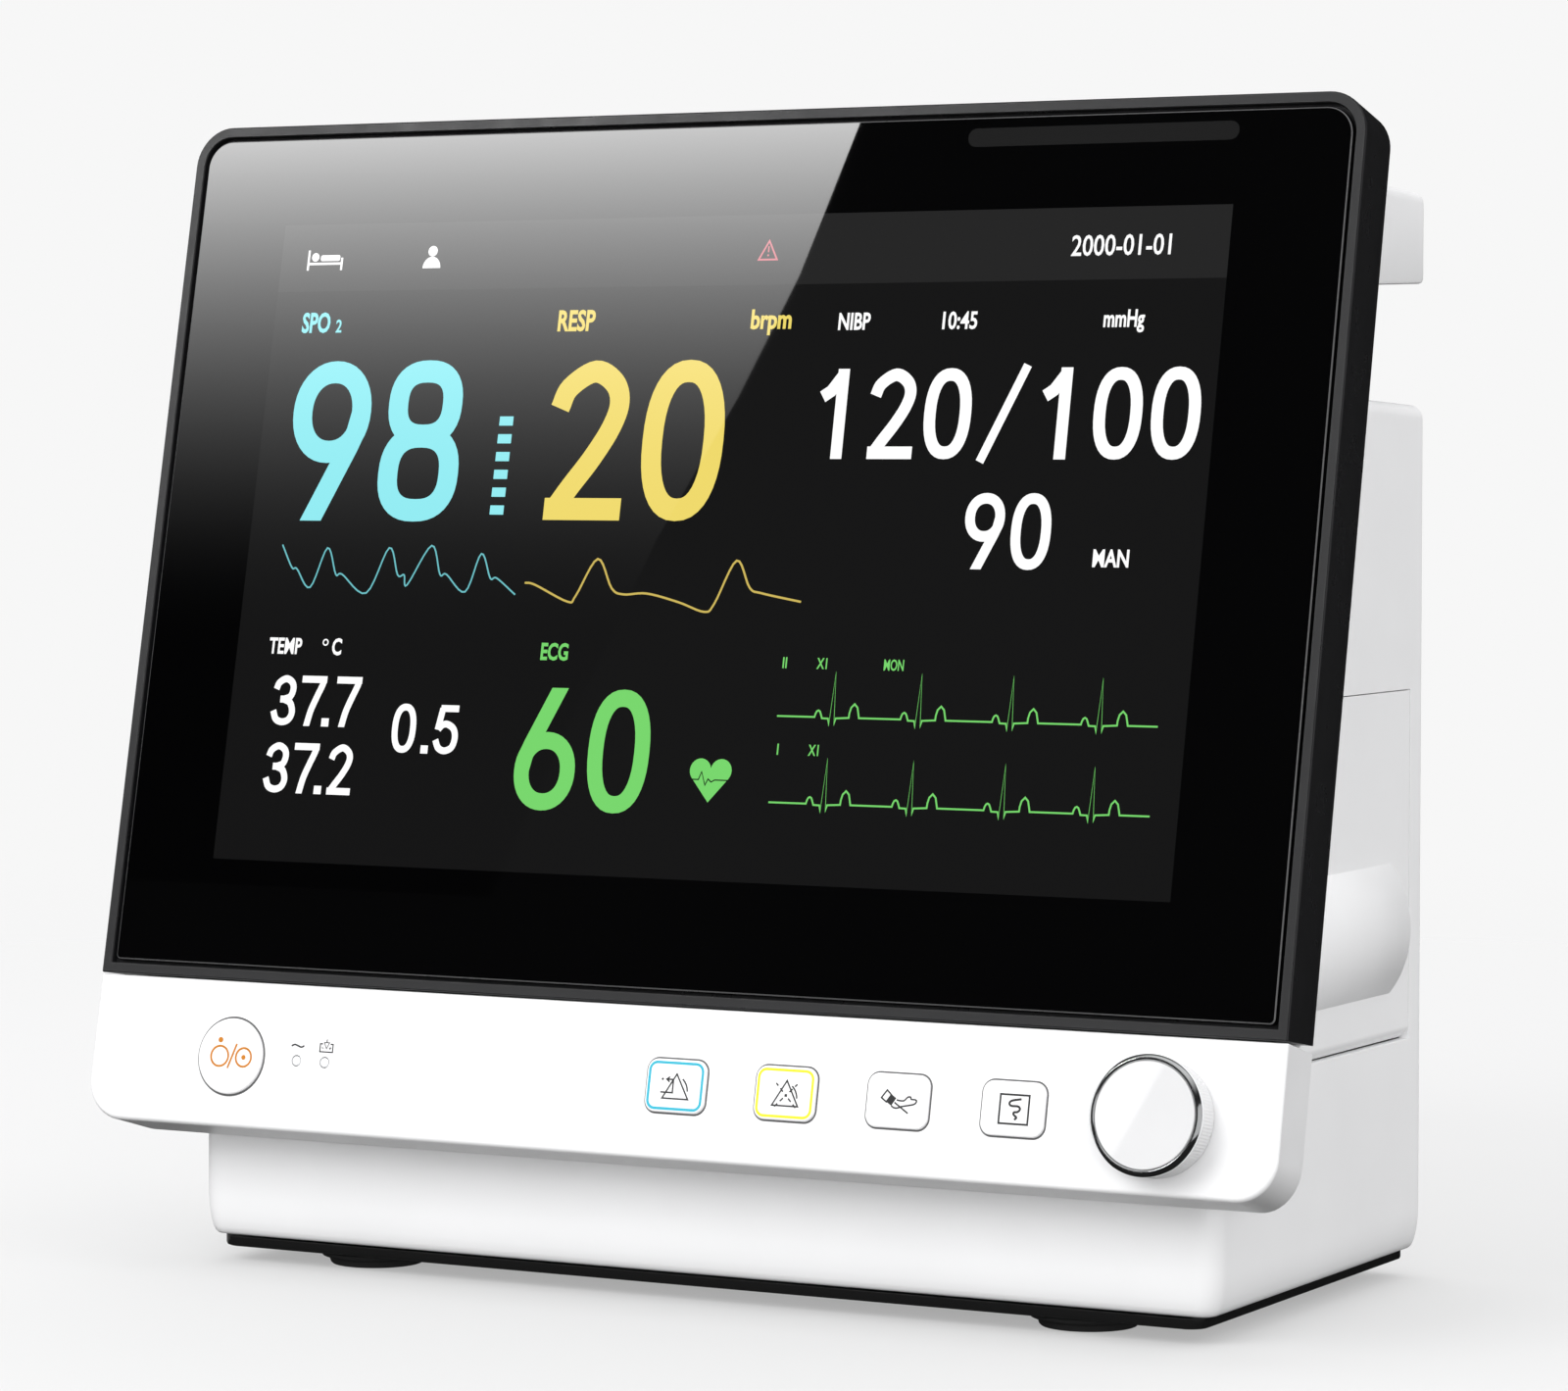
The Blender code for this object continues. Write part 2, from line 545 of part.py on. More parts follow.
def build_recorder():
    hinge = Vector((DOOR_HIGH.x - BARREL_RADIUS, 0, DOOR_LOW.z + BARREL_RADIUS))
    y_low, y_high = DOOR_LOW.y, DOOR_HIGH.y
    front_end = 2.8 * MM
    rear_end = 3.8 * MM

    # The door's section: a flat plate whose lower edge rolls into the hinge barrel.
    plate = [(DOOR_LOW.x, DOOR_HIGH.z), (DOOR_LOW.x, hinge.z)]
    plate += [(hinge.x, hinge.z), (hinge.x, DOOR_LOW.z)]
    plate += arc(hinge, BARREL_RADIUS, -90, 0, 6)[1:]
    plate.append((DOOR_HIGH.x, DOOR_HIGH.z))
    door = part("recorder_door", side_prism(plate, y_low, y_high), "white_plastic", None, hinge)
    join(door, cylinder(hinge, 1, BARREL_RADIUS, y_low + front_end, y_high - rear_end, 24))
    reach = math.degrees(math.acos((DOOR_LOW.x - ROLL_AXIS.x) / BULGE_RADIUS))
    bulge = arc(ROLL_AXIS, BULGE_RADIUS, -reach, reach, 14)
    join(door, side_prism(bulge, *BULGE_ENDS))
    for y in (-1, 52):
        join(door, cube(mm(125.4, y, 130.5), mm(137, y + 3, 139.3)))
    hollow_ends = (BULGE_ENDS[0] + 1.7 * MM, BULGE_ENDS[1] - 1.7 * MM)
    cut(door, cylinder(ROLL_AXIS, 1, BULGE_RADIUS - 1.7 * MM, *hollow_ends, 40))
    ends = [
        cylinder(hinge, 1, 2.4 * MM, y_low - front_end, y_low + front_end, 20),
        cylinder(hinge, 1, 2.4 * MM, y_high - rear_end, y_high + rear_end, 20),
    ]
    cut(door, *ends)
    cut(door, cylinder(hinge, 1, 1.1 * MM, y_low, y_high, 16))
    cut(door, cylinder(PLATEN_AXIS, 1, 2.3 * MM, -5 * MM, 60 * MM, 20))
    latch_low = mm(135.3, -8, 113.5)
    latch_high = mm(139.6, 6, 123.5)
    cut(door, cube(latch_low - Vector((5 * MM, GAP, GAP)), latch_high + Vector((5 * MM, GAP, GAP))))
    latch = rounded(latch_low, latch_high, 0, 2 * MM, 2)
    part("recorder_latch", latch, "socket_grey")

    bay = part("recorder_bay", cube(BAY_LOW, BAY_HIGH), "module_plastic")
    wall = 2 * MM
    inside_low = BAY_LOW + Vector((wall, wall, wall))
    cut(bay, cube(inside_low, BAY_HIGH + Vector((0.05, -wall, -wall))))
    cut(bay, cylinder(hinge, 1, 3.6 * MM, BAY_LOW.y - MM, BAY_HIGH.y + MM, 24))
    for start, stop in ((BAY_LOW.y, BAY_LOW.y + wall), (BAY_HIGH.y - wall, BAY_HIGH.y)):
        join(bay, cylinder(hinge, 1, 2.1 * MM, start, stop, 20))
        bridge_low = Vector((hinge.x - 6 * MM, start, hinge.z + 0.5 * MM))
        join(bay, cube(bridge_low, Vector((hinge.x - 0.5 * MM, stop, hinge.z + 1.9 * MM))))
    for start, stop in ((BAY_LOW.y + MM, 6 * MM), (48 * MM, BAY_HIGH.y - MM)):
        join(bay, cylinder(ROLL_AXIS, 1, 5.3 * MM, start, stop, 20))
    cut(bay, cylinder(hinge, 1, 1.1 * MM, BAY_LOW.y - MM, BAY_HIGH.y + MM, 16))

    length = (BAY_HIGH.y - BAY_LOW.y) / MM
    pin = [(0, length), (0.8, length), (0.8, 0), (0, 0)]
    pin_start = Vector((hinge.x, BAY_LOW.y, hinge.z))
    turned("recorder_hinge_pin", pin, "steel", None, pin_start, FACE_BACK, 16)

    roller = [(0, 59.5), (2, 59.5), (2, 58.4), (5.4, 58.4), (5.4, 55.4), (2, 55.4), (2, 51.6)]
    roller += [(6, 51.6), (6, 2.4), (2, 2.4), (2, -1.8), (0, -1.8)]
    turned("platen_roller", roller, "rubber", None, PLATEN_AXIS, FACE_BACK, 28)
    roll = [(22, 52), (22, 2), (6, 2), (6, 52)]
    turned("paper_roll", roll, "thermal_paper", None, ROLL_AXIS, FACE_BACK, 40, ring=True)

    head = part("print_head", cube(mm(117.5, 1, 127), mm(123.4, 53, 143)), "sheet_metal")
    join(head, cube(mm(82.4, 8, 140.5), mm(118, 46, 142.7)))
    motor = cylinder(mm(96, 0, 126), 1, 10 * MM, 20 * MM, 44 * MM, 24)
    part("recorder_motor", motor, "sheet_metal")


def build_battery():
    pivot_y = BATTERY_HIGH.y - BATTERY_HINGE_RADIUS
    pivot = Vector((0, pivot_y, BATTERY_LOW.z + BATTERY_HINGE_RADIUS))
    door_bm = cube(BATTERY_LOW, BATTERY_HIGH)
    door = part("battery_door", door_bm, "white_plastic", None, pivot)
    wide = cylinder(pivot, 0, BATTERY_HINGE_RADIUS, BATTERY_LOW.x, BATTERY_HIGH.x, 24)
    edge_low = BATTERY_LOW - mm(5, 5, 5)
    edge_high = Vector((BATTERY_HIGH.x + 5 * MM, BATTERY_HIGH.y + 5 * MM, pivot.z))
    cut(door, cube(edge_low, edge_high))
    join(door, wide)
    pad_low = mm(-93, 74.6, 54)
    pad_high = mm(-79, 76, 61)
    cut(door, cube(pad_low - mm(0.3, 0.3, 2.8), pad_high + mm(0.3, 5, 0.3)))
    part("battery_latch", cube(pad_low, Vector((pad_high.x, BACK, pad_high.z))), "socket_grey")
    part("battery", rounded(mm(-124, 14, 19), mm(-48, 70.6, 62), 1, 3 * MM, 2), "module_plastic")


def build_connectors():
    panel = part("connector_panel", rounded(PANEL_LOW, PANEL_HIGH, 0, 1 * MM, 1), "socket_grey")
    holes = []
    for name, y, z, radius in SOCKETS:
        neck = radius - 2
        cavity = radius - 3.4
        holes.append(cylinder(mm(0, y, z), 0, (neck + 0.3) * MM, -0.15, -0.12, 28))
        profile = [(0, -8), (cavity, -8), (cavity, 3.2), (radius - 0.6, 3.2), (radius, 2.6)]
        profile += [(radius, 0.3), (neck, 0.3), (neck, -12), (0, -12)]
        finish = "chrome" if name == "socket_nibp" else "module_plastic"
        spot = (PANEL_LOW.x, y * MM, z * MM)
        turned(name, profile, finish, None, spot, FACE_LEFT, 28)
    cut(panel, *holes)

    inlet = part("mains_inlet", cube(mm(8, 54, 20), mm(40, 75.6, 44)), "module_plastic")
    cut(inlet, rounded(mm(11.75, 58, 23.8), mm(36.25, 90, 40.2), 1, 3 * MM, 2))
    for x in (17, 24, 31):
        lift = 34 if x == 24 else 30
        join(inlet, cube(mm(x - 1, 57, lift - 2), mm(x + 1, 69, lift + 2)))
    lan = part("network_port", cube(mm(52, 60, 24), mm(68, 75.6, 37.3)), "sheet_metal")
    cut(lan, cube(mm(54, 64, 26), mm(66, 90, 34.5)))
    usb = part("usb_port", cube(mm(-14, 62, 26), mm(1, 75.6, 33)), "sheet_metal")
    cut(usb, cube(mm(-12.8, 65, 27.1), mm(-0.2, 90, 31.9)))
    stud = [(0, 8.4), (2.6, 8.4), (3, 8), (3, 0), (6.4, 0), (6.4, -2), (0, -2)]
    turned("equipotential_stud", stud, "steel", None, mm(52, 67, 60), FACE_BACK, 24)
    screw = [(0, 0.6), (1.4, 0.6), (1.6, 1.6), (2.7, 1.6), (3, 1.2), (3, 0), (1.5, 0)]
    screw += [(1.5, -9), (0, -9)]
    for name, (x, z) in SCREWS.items():
        turned(name, screw, "steel", None, mm(x, 70.3, z), FACE_BACK, 16)


def build_internals():
    tray = part("internal_chassis", cube(mm(-116, 6, 68), mm(72, 7.5, 205)), "sheet_metal")
    cut(tray, rounded(mm(-60, 0, 100), mm(20, 12, 150), 1, 5 * MM, 2))
    join(tray, cube(mm(-44, 6, 68), mm(72, 56, 69.5)))
    board = part("main_board", cube(mm(-110, 2, 84), mm(66, 3.6, 200)), "circuit_board")
    join(board, cube(mm(-40, -3, 130), mm(0, 2.5, 170)))
    join(board, cube(mm(20, -2, 100), mm(50, 2.5, 120)))
    part("power_supply", rounded(mm(-38, 12, 13), mm(74, 50, 56), 0, 2 * MM, 1), "sheet_metal")
    part("nibp_pump", cylinder(mm(0, 34, 100), 0, 13.5 * MM, -40 * MM, 24 * MM), "sheet_metal")
    part("nibp_valve", cylinder(mm(0, 34, 126), 0, 7 * MM, -30 * MM, -4 * MM, 20), "module_plastic")
    speaker = [(0, 0), (21, 0), (21, -2), (17, -4), (9, -12), (9, -19), (0, -19)]
    turned("speaker", speaker, "module_plastic", None, mm(-68, 72.2, 169), FACE_BACK, 28)
    part("parameter_module", cube(mm(-124, 10, 80), mm(-88, 48, 196)), "module_plastic")


def main():
    clear_scene()
    new_collection(PARTS, False)
    new_collection(CUTTERS, True)
    for name, (colour, roughness, metallic) in FINISHES.items():
        new_material(name, colour, roughness, metallic)
    display = bpy.data.objects.new("display_frame", None)
    display.location = DISPLAY_FOOT
    display.rotation_euler = (-LEAN, 0, 0)
    bpy.data.collections[PARTS].objects.link(display)
    build_display(display)
    build_controls(display)
    build_knob(display)
    build_housing()
    build_handle()
    build_base()
    build_recorder()
    build_battery()
    build_connectors()
    build_internals()


main()
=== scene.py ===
"""Looks of the patient monitor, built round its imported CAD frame.

All shapes are drawn in millimetres in a few flat frames: the display's face, the sides, the
back and the top. Each frame is a matrix that also brings millimetres to metres.
"""

import json
import math

import bmesh
import bpy
from mathutils import Matrix, Vector
from mathutils.geometry import delaunay_2d_cdt


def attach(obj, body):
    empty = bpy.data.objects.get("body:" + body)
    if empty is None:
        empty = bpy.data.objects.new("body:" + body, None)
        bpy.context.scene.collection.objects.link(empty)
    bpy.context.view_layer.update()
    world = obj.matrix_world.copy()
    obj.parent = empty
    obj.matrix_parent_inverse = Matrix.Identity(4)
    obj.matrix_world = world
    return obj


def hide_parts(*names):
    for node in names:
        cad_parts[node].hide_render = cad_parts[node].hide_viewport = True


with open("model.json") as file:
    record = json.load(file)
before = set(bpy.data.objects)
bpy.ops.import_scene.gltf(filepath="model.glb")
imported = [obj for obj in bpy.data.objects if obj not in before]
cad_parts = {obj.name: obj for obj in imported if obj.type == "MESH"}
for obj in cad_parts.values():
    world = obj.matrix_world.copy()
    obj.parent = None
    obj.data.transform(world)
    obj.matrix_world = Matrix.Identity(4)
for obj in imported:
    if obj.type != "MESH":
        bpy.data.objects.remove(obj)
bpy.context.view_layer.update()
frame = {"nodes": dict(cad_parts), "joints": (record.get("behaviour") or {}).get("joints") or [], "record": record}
MM = 0.001
TAU = 2 * math.pi


# ---------------------------------------------------------------- places from the frame
def joint(name):
    return next(j for j in frame["joints"] if j["name"] == name)


def axes_frame(x_axis, y_axis, origin=(0, 0, 0)):
    """Matrix from millimetres on two given axes, and on the third across them, to metres."""
    x_axis, y_axis = Vector(x_axis), Vector(y_axis)
    columns = (x_axis, y_axis, x_axis.cross(y_axis))
    turn = Matrix([[column[row] for column in columns] for row in range(3)]).to_4x4()
    return Matrix.Translation(origin) @ turn @ Matrix.Scale(MM, 4)


# The display's face: X across, Y up its slope, Z out of it. The knob's axis gives the slope.
KNOB = Vector((132, 17.4))
OUT = Vector(joint("knob_turn")["axis"])
UPWARD = Vector((0, OUT.z, -OUT.y))
FOOT = Vector(joint("knob_turn")["pos_m"]) - Vector((KNOB.x * MM, 0, 0)) - UPWARD * KNOB.y * MM
FACE = axes_frame((1, 0, 0), UPWARD, FOOT)
TOP = axes_frame((1, 0, 0), (0, 1, 0))
RIGHT = axes_frame((0, 1, 0), (0, 0, 1))
LEFT = axes_frame((0, -1, 0), (0, 0, 1))
BACK = axes_frame((-1, 0, 0), (0, 0, 1))
# For sections of the recorder: X up, Y to the right, Z to the rear.
SECTION = axes_frame((0, 0, 1), (1, 0, 0))


def box_in(place, node):
    """Lowest and highest corner of a CAD node in one of the frames, in millimetres."""
    inverse = place.inverted()
    points = [inverse @ vert.co for vert in frame["nodes"][node].data.vertices]
    low = Vector([min(p[i] for p in points) for i in range(3)])
    high = Vector([max(p[i] for p in points) for i in range(3)])
    return low, high


def centre_in(place, node):
    """Middle of a CAD node's box in one of the frames, in millimetres."""
    low, high = box_in(place, node)
    return (low + high) / 2


def at(place, x, y, z=0.0):
    """A frame moved to one of its own points."""
    return place @ Matrix.Translation((x, y, z))


def under(place, node, drop):
    """A frame moved to the middle of a CAD node, this far under its top."""
    middle = centre_in(place, node)
    return at(place, middle.x, middle.y, box_in(place, node)[1].z - drop)


# ---------------------------------------------------------------- materials
class Nodes:
    """A node tree with short calls. An input takes a value or another node's output."""

    def __init__(self, owner):
        owner.use_nodes = True
        self.tree = owner.node_tree

    def feed(self, socket, value):
        if isinstance(value, bpy.types.NodeSocket):
            self.tree.links.new(value, socket)
        else:
            socket.default_value = value

    def add(self, kind, inputs, out=0, **settings):
        """Adds a node and returns one of its outputs, if it has any."""
        made = self.tree.nodes.new("ShaderNode" + kind)
        for key, value in settings.items():
            setattr(made, key, value)
        for socket, value in inputs.items():
            self.feed(made.inputs[socket], value)
        return made.outputs[out] if made.outputs else None


class Surface(Nodes):
    """A Principled material with short calls for tints, roughness and bump."""

    def __init__(self, name, colour, roughness, metallic=0.0):
        self.material = bpy.data.materials.new(name)
        super().__init__(self.material)
        self.shader = self.tree.nodes["Principled BSDF"]
        self.colour, self.roughness = colour, roughness
        self.set("Base Color", (*colour, 1)).set("Roughness", roughness).set("Metallic", metallic)
        self.place = self.add("TexCoord", {}, "Object")

    def set(self, socket, value):
        self.feed(self.shader.inputs[socket], value)
        return self

    def noise(self, size, detail=2.0, stretch=(1, 1, 1)):
        """Noise whose features are about this many millimetres across."""
        place = self.add("Mapping", {"Vector": self.place, "Scale": stretch})
        return self.add("TexNoise", {"Vector": place, "Scale": 1 / (size * MM), "Detail": detail}, "Fac")

    def spread(self, noise, low, high):
        """Stretches the middle of a noise over a range of values."""
        ends = {"From Min": 0.3, "From Max": 0.7, "To Min": low, "To Max": high}
        return self.add("MapRange", {"Value": noise, **ends})

    def rough(self, size, change, stretch=(1, 1, 1)):
        noise = self.noise(size, 4, stretch)
        return self.set("Roughness", self.spread(noise, self.roughness - change, self.roughness + change))

    def mix(self, share, first, second):
        """The base colour as a mix of two."""
        colour = self.add("Mix", {"Factor": share, 6: first, 7: second}, 2, data_type="RGBA")
        return self.set("Base Color", colour)

    def tint(self, size, other, detail=3.0, stretch=(1, 1, 1)):
        """Lets the colour drift towards another one."""
        share = self.spread(self.noise(size, detail, stretch), 0, 1)
        return self.mix(share, (*self.colour, 1), (*other, 1))

    def grain(self, size, depth, stretch=(1, 1, 1)):
        """Bump from noise, with its depth in millimetres."""
        height = self.noise(size, 2, stretch)
        return self.set("Normal", self.add("Bump", {"Height": height, "Distance": depth * MM}))

    def edge_wear_and_highlight(self, radius, colour):
        """Rubs a tinted surface's edges, where a rounded normal leaves the flat one, to another colour: partly
        wear, partly a painted highlight along the edges.
        """
        soft = self.add("Bevel", {"Radius": radius * MM}, samples=4)
        flat_normal = self.add("NewGeometry", {}, "Normal")
        dot = self.add("VectorMath", {0: soft, 1: flat_normal}, "Value", operation="DOT_PRODUCT")
        # Mask of the edges that turn lighter: wear, and also a painted edge highlight.
        worn_and_lit = self.add("MapRange", {"Value": dot, "From Min": 0.99, "From Max": 0.8})
        patches = self.spread(self.noise(6, 3), 0.2, 1)
        share = self.add("Math", {0: worn_and_lit, 1: patches}, operation="MULTIPLY")
        return self.mix(share, self.shader.inputs["Base Color"].links[0].from_socket, (*colour, 1))

    def glow(self, colour, strength):
        return self.set("Emission Color", (*colour, 1)).set("Emission Strength", strength)


def moulded(name, colour, roughness, grain=0.004):
    """Injection moulded plastic: faint flow marks, fine spark texture, edges a little rubbed and lightened, partly
    as wear and partly as a painted highlight.
    """
    shade = tuple(0.965 * c for c in colour)
    # Lighter colour for the edges: partly wear, partly a painted edge highlight.
    worn_and_lit = tuple(min(1.0, 0.04 + 1.02 * c) for c in colour)
    made = Surface(name, colour, roughness).tint(45, shade).rough(9, 0.045)
    return made.grain(0.5, grain).edge_wear_and_highlight(0.35, worn_and_lit)


def make_materials():
    made = {
        "white": moulded("white_shell", (0.87, 0.87, 0.875), 0.36),
        "black": moulded("black_shell", (0.013, 0.013, 0.014), 0.3, 0.003),
        "gloss_black": moulded("base_black", (0.009, 0.009, 0.009), 0.2, 0.002),
        # The bezel's front band: satin black made lighter than the shell, a painted sheen.
        "rim": moulded("satin_rim_painted_sheen", (0.03, 0.03, 0.031), 0.34, 0.003),
        # Dark grey rings in the gaps round the keys and the power button: painted shade of the gaps.
        "gap_shade": Surface("key_gap_shade", (0.12, 0.12, 0.122), 0.6).rough(2, 0.08),
        # Grey for the glass's chamfer: a painted highlight along the glass's edge.
        "glass_edge": Surface("glass_edge_painted_highlight", (0.1, 0.1, 0.102), 0.3).rough(3, 0.06),
        "key": moulded("key_cap", (0.9, 0.9, 0.905), 0.24, 0.0015),
        "cap": Surface("knob_gloss", (0.66, 0.66, 0.665), 0.02).rough(20, 0.01),
        "grip": moulded("knob_grip", (0.74, 0.74, 0.745), 0.3, 0.0015),
        "glass": Surface("black_glass", (0.0008, 0.0008, 0.0009), 0.012).rough(35, 0.006),
        "window": Surface("alarm_window", (0.011, 0.011, 0.011), 0.012).rough(35, 0.006),
        "chrome": Surface("polished_chrome", (0.74, 0.75, 0.76), 0.12, 1.0).rough(4, 0.03),
        "guide": Surface("light_guide", (0.83, 0.84, 0.85), 0.2).rough(1, 0.05),
        "rubber": Surface("foot_rubber", (0.018, 0.018, 0.018), 0.8).rough(2, 0.08).grain(0.4, 0.02),
        "sheet": Surface("zinc_sheet", (0.55, 0.56, 0.57), 0.34, 1.0),
        "steel": Surface("plated_steel", (0.52, 0.52, 0.53), 0.26, 1.0),
        "gold": Surface("gold_contact", (0.83, 0.62, 0.28), 0.22, 1.0).rough(0.6, 0.06),
        "board": Surface("solder_mask", (0.015, 0.13, 0.055), 0.42),
        "grey": moulded("socket_grey", (0.2, 0.21, 0.23), 0.42),
        "dark": moulded("module_dark", (0.07, 0.07, 0.075), 0.48),
        "paper": Surface("thermal_paper", (0.86, 0.86, 0.83), 0.7),
        "ink": Surface("grey_ink", (0.035, 0.035, 0.036), 0.5),
        "orange": Surface("orange_ink", (0.56, 0.19, 0.001), 0.5),
        "card": Surface("core_card", (0.42, 0.3, 0.18), 0.75).rough(2, 0.06),
        "green_ring": Surface("green_ring", (0.1, 0.5, 0.13), 0.35),
        "cyan_ring": Surface("cyan_ring", (0.03, 0.44, 0.6), 0.3),
        "yellow_ring": Surface("yellow_ring", (0.87, 0.8, 0.02), 0.3),
    }
    for print_name in ("ink", "orange", "green_ring", "cyan_ring", "yellow_ring"):
        made[print_name].rough(1, 0.05)
    made["cap"].tint(18, (0.64, 0.64, 0.645))
    made["card"].tint(3, (0.36, 0.25, 0.15))
    made["sheet"].rough(3, 0.08, (1, 12, 1)).tint(7, (0.5, 0.51, 0.52)).grain(0.6, 0.003, (1, 14, 1))
    made["steel"].rough(1.5, 0.07, (6, 1, 1)).grain(0.5, 0.004, (6, 1, 1))
    made["gloss_black"].set("Specular IOR Level", 0.25)
    made["board"].tint(3.2, (0.02, 0.2, 0.08), 0, (1, 1, 6)).rough(2, 0.06).grain(1.6, 0.03)
    made["paper"].tint(1.2, (0.8, 0.8, 0.77), 2, (1, 0.05, 1)).grain(0.25, 0.02, (1, 0.02, 1))
    lights = {
        "cyan": ((0.285, 0.83, 0.885), 1.0),
        "cyan_line": ((0.16, 0.53, 0.57), 1.0),
        "yellow": ((0.87, 0.7, 0.15), 1.0),
        "yellow_line": ((0.62, 0.47, 0.11), 1.0),
        "green": ((0.19, 0.68, 0.155), 1.0),
        "white_light": ((1, 1, 1), 1.05),
        "pink": ((0.83, 0.22, 0.27), 0.8),
        "screen": ((1, 1, 1), 0.0072),
        "header": ((1, 1, 1), 0.0185),
    }
    for name, (colour, strength) in lights.items():
        pixel = Surface(name + "_pixels", (0.0008, 0.0008, 0.0009), 0.012).rough(35, 0.006)
        made[name] = pixel.glow(colour, strength)
    return {name: surface.material for name, surface in made.items()}


MATERIAL = make_materials()
SLOT_LOOK = {
    "white_plastic": "white",
    "black_plastic": "black",
    "cover_glass": "glass",
    "screen_frame": "dark",
    "key_plastic": "key",
    "light_guide": "guide",
    "chrome": "chrome",
    "rubber": "rubber",
    "sheet_metal": "sheet",
    "steel": "steel",
    "circuit_board": "board",
    "socket_grey": "grey",
    "module_plastic": "dark",
    "thermal_paper": "paper",
}
SLOT_OF = {part["node"]: part["material_slot"] for part in frame["record"]["subparts"]}
BODIES = frame["record"]["behaviour"]["bodies"]
BODY_OF = {name: body for body, names in BODIES.items() for name in names}
# CAD nodes that already have a finer shape of their own.
REBUILT = set()


def dress_frame():
    """Gives every CAD node the material of its slot."""
    for name, node in frame["nodes"].items():
        node.data.materials.clear()
        node.data.materials.append(MATERIAL[SLOT_LOOK[SLOT_OF[name]]])


# ---------------------------------------------------------------- outlines and solids
def arc(centre, radii, start, end, steps):
    """Points on an ellipse's arc, with the angles in degrees from +X."""
    points = []
    for i in range(steps + 1):
        angle = math.radians(start + (end - start) * i / steps)
        x, y = radii[0] * math.cos(angle), radii[1] * math.sin(angle)
        points.append(Vector((centre[0] + x, centre[1] + y)))
    return points


def box_outline(low, high, radii, steps=8):
    """A rounded rectangle. radii: upper right, upper left, lower left, lower right."""
    radii = radii if isinstance(radii, tuple) else (radii,) * 4
    sides = ((high, high), (low, high), (low, low), (high, low))
    points = []
    for (across, up), radius, start in zip(sides, radii, (0, 90, 180, 270)):
        radius = max(radius, 0.02)
        x = across[0] + (radius if across is low else -radius)
        y = up[1] + (radius if up is low else -radius)
        points += arc((x, y), (radius, radius), start, start + 90, steps)
    return points


def inset_box(low, high, radii, inset, steps=8):
    radii = radii if isinstance(radii, tuple) else (radii,) * 4
    low = (low[0] + inset, low[1] + inset)
    high = (high[0] - inset, high[1] - inset)
    return box_outline(low, high, tuple(max(r - inset, 0.05) for r in radii), steps)


def loft(sections, ring=False):
    """A solid through outlines of equal length: (points, height) or lists of 3-D points."""
    bm = bmesh.new()
    rows = []
    for section in sections:
        if isinstance(section, tuple):
            outline, height = section
            section = [(p[0], p[1], height) for p in outline]
        rows.append([bm.verts.new(p) for p in section])
    count = len(rows[0])
    pairs = list(zip(rows, rows[1:]))
    if ring:
        pairs.append((rows[-1], rows[0]))
    for lower, upper in pairs:
        for i in range(count):
            j = (i + 1) % count
            bm.faces.new((lower[i], lower[j], upper[j], upper[i]))
    if not ring:
        bm.faces.new(rows[0][::-1])
        bm.faces.new(rows[-1])
    bmesh.ops.recalc_face_normals(bm, faces=bm.faces)
    return bm


def plate(low, high, radii, profile, steps=8, ring=False):
    """A rounded plate or frame whose edge follows a profile of (inset, height)."""
    return loft([(inset_box(low, high, radii, inset, steps), z) for inset, z in profile], ring)


def turned(profile, steps=64, ring=False):
    """A turned solid from (radius, height) points; open profiles begin and end on the axis."""
    bm = bmesh.new()
    rows = []
    for radius, height in profile:
        if radius < 1e-6:
            rows.append([bm.verts.new((0, 0, height))])
        else:
            circle = arc((0, 0), (radius, radius), 0, 360, steps)[:-1]
            rows.append([bm.verts.new((p.x, p.y, height)) for p in circle])
    pairs = list(zip(rows, rows[1:]))
    if ring:
        pairs.append((rows[-1], rows[0]))
    for lower, upper in pairs:
        for i in range(steps):
            j = (i + 1) % steps
            corners = [row[k % len(row)] for row, k in ((lower, i), (lower, j), (upper, j), (upper, i))]
            bm.faces.new(list(dict.fromkeys(corners)))
    bmesh.ops.recalc_face_normals(bm, faces=bm.faces)
    return bm


def fillet(inset, height, radius, steps=5):
    """Profile points round a corner: from the wall at this inset up to the flat at this height."""
    points = []
    for i in range(steps + 1):
        angle = math.pi / 2 * i / steps
        points.append((inset + radius * (1 - math.cos(angle)), height - radius * (1 - math.sin(angle))))
    return points


def shifted(bm, offset):
    bmesh.ops.translate(bm, vec=offset, verts=bm.verts)
    return bm


def merged(meshes):
    """Several solids as one mesh."""
    total = bmesh.new()
    for bm in meshes:
        scratch = new_mesh("scratch", bm)
        total.from_mesh(scratch)
        bpy.data.meshes.remove(scratch)
    return total


def new_object(name, data):
    made = bpy.data.objects.new(name, data)
    bpy.context.scene.collection.objects.link(made)
    return made


def new_mesh(name, bm):
    mesh = bpy.data.meshes.new(name)
    bm.to_mesh(mesh)
    bm.free()
    return mesh


def combine(bm, others, operation):
    """An exact Boolean between bmesh solids."""
    pair = [new_object("operand", new_mesh("operand", solid)) for solid in (bm, merged(others))]
    modifier = pair[0].modifiers.new("boolean", "BOOLEAN")
    modifier.operation = operation
    modifier.object = pair[1]
    modifier.use_self = operation == "UNION"
    bpy.context.view_layer.update()
    result = bmesh.new()
    result.from_mesh(pair[0].evaluated_get(bpy.context.evaluated_depsgraph_get()).to_mesh())
    for obj in pair:
        mesh = obj.data
        bpy.data.objects.remove(obj)
        bpy.data.meshes.remove(mesh)
    return result


def cut(bm, *others):
    return combine(bm, others, "DIFFERENCE")


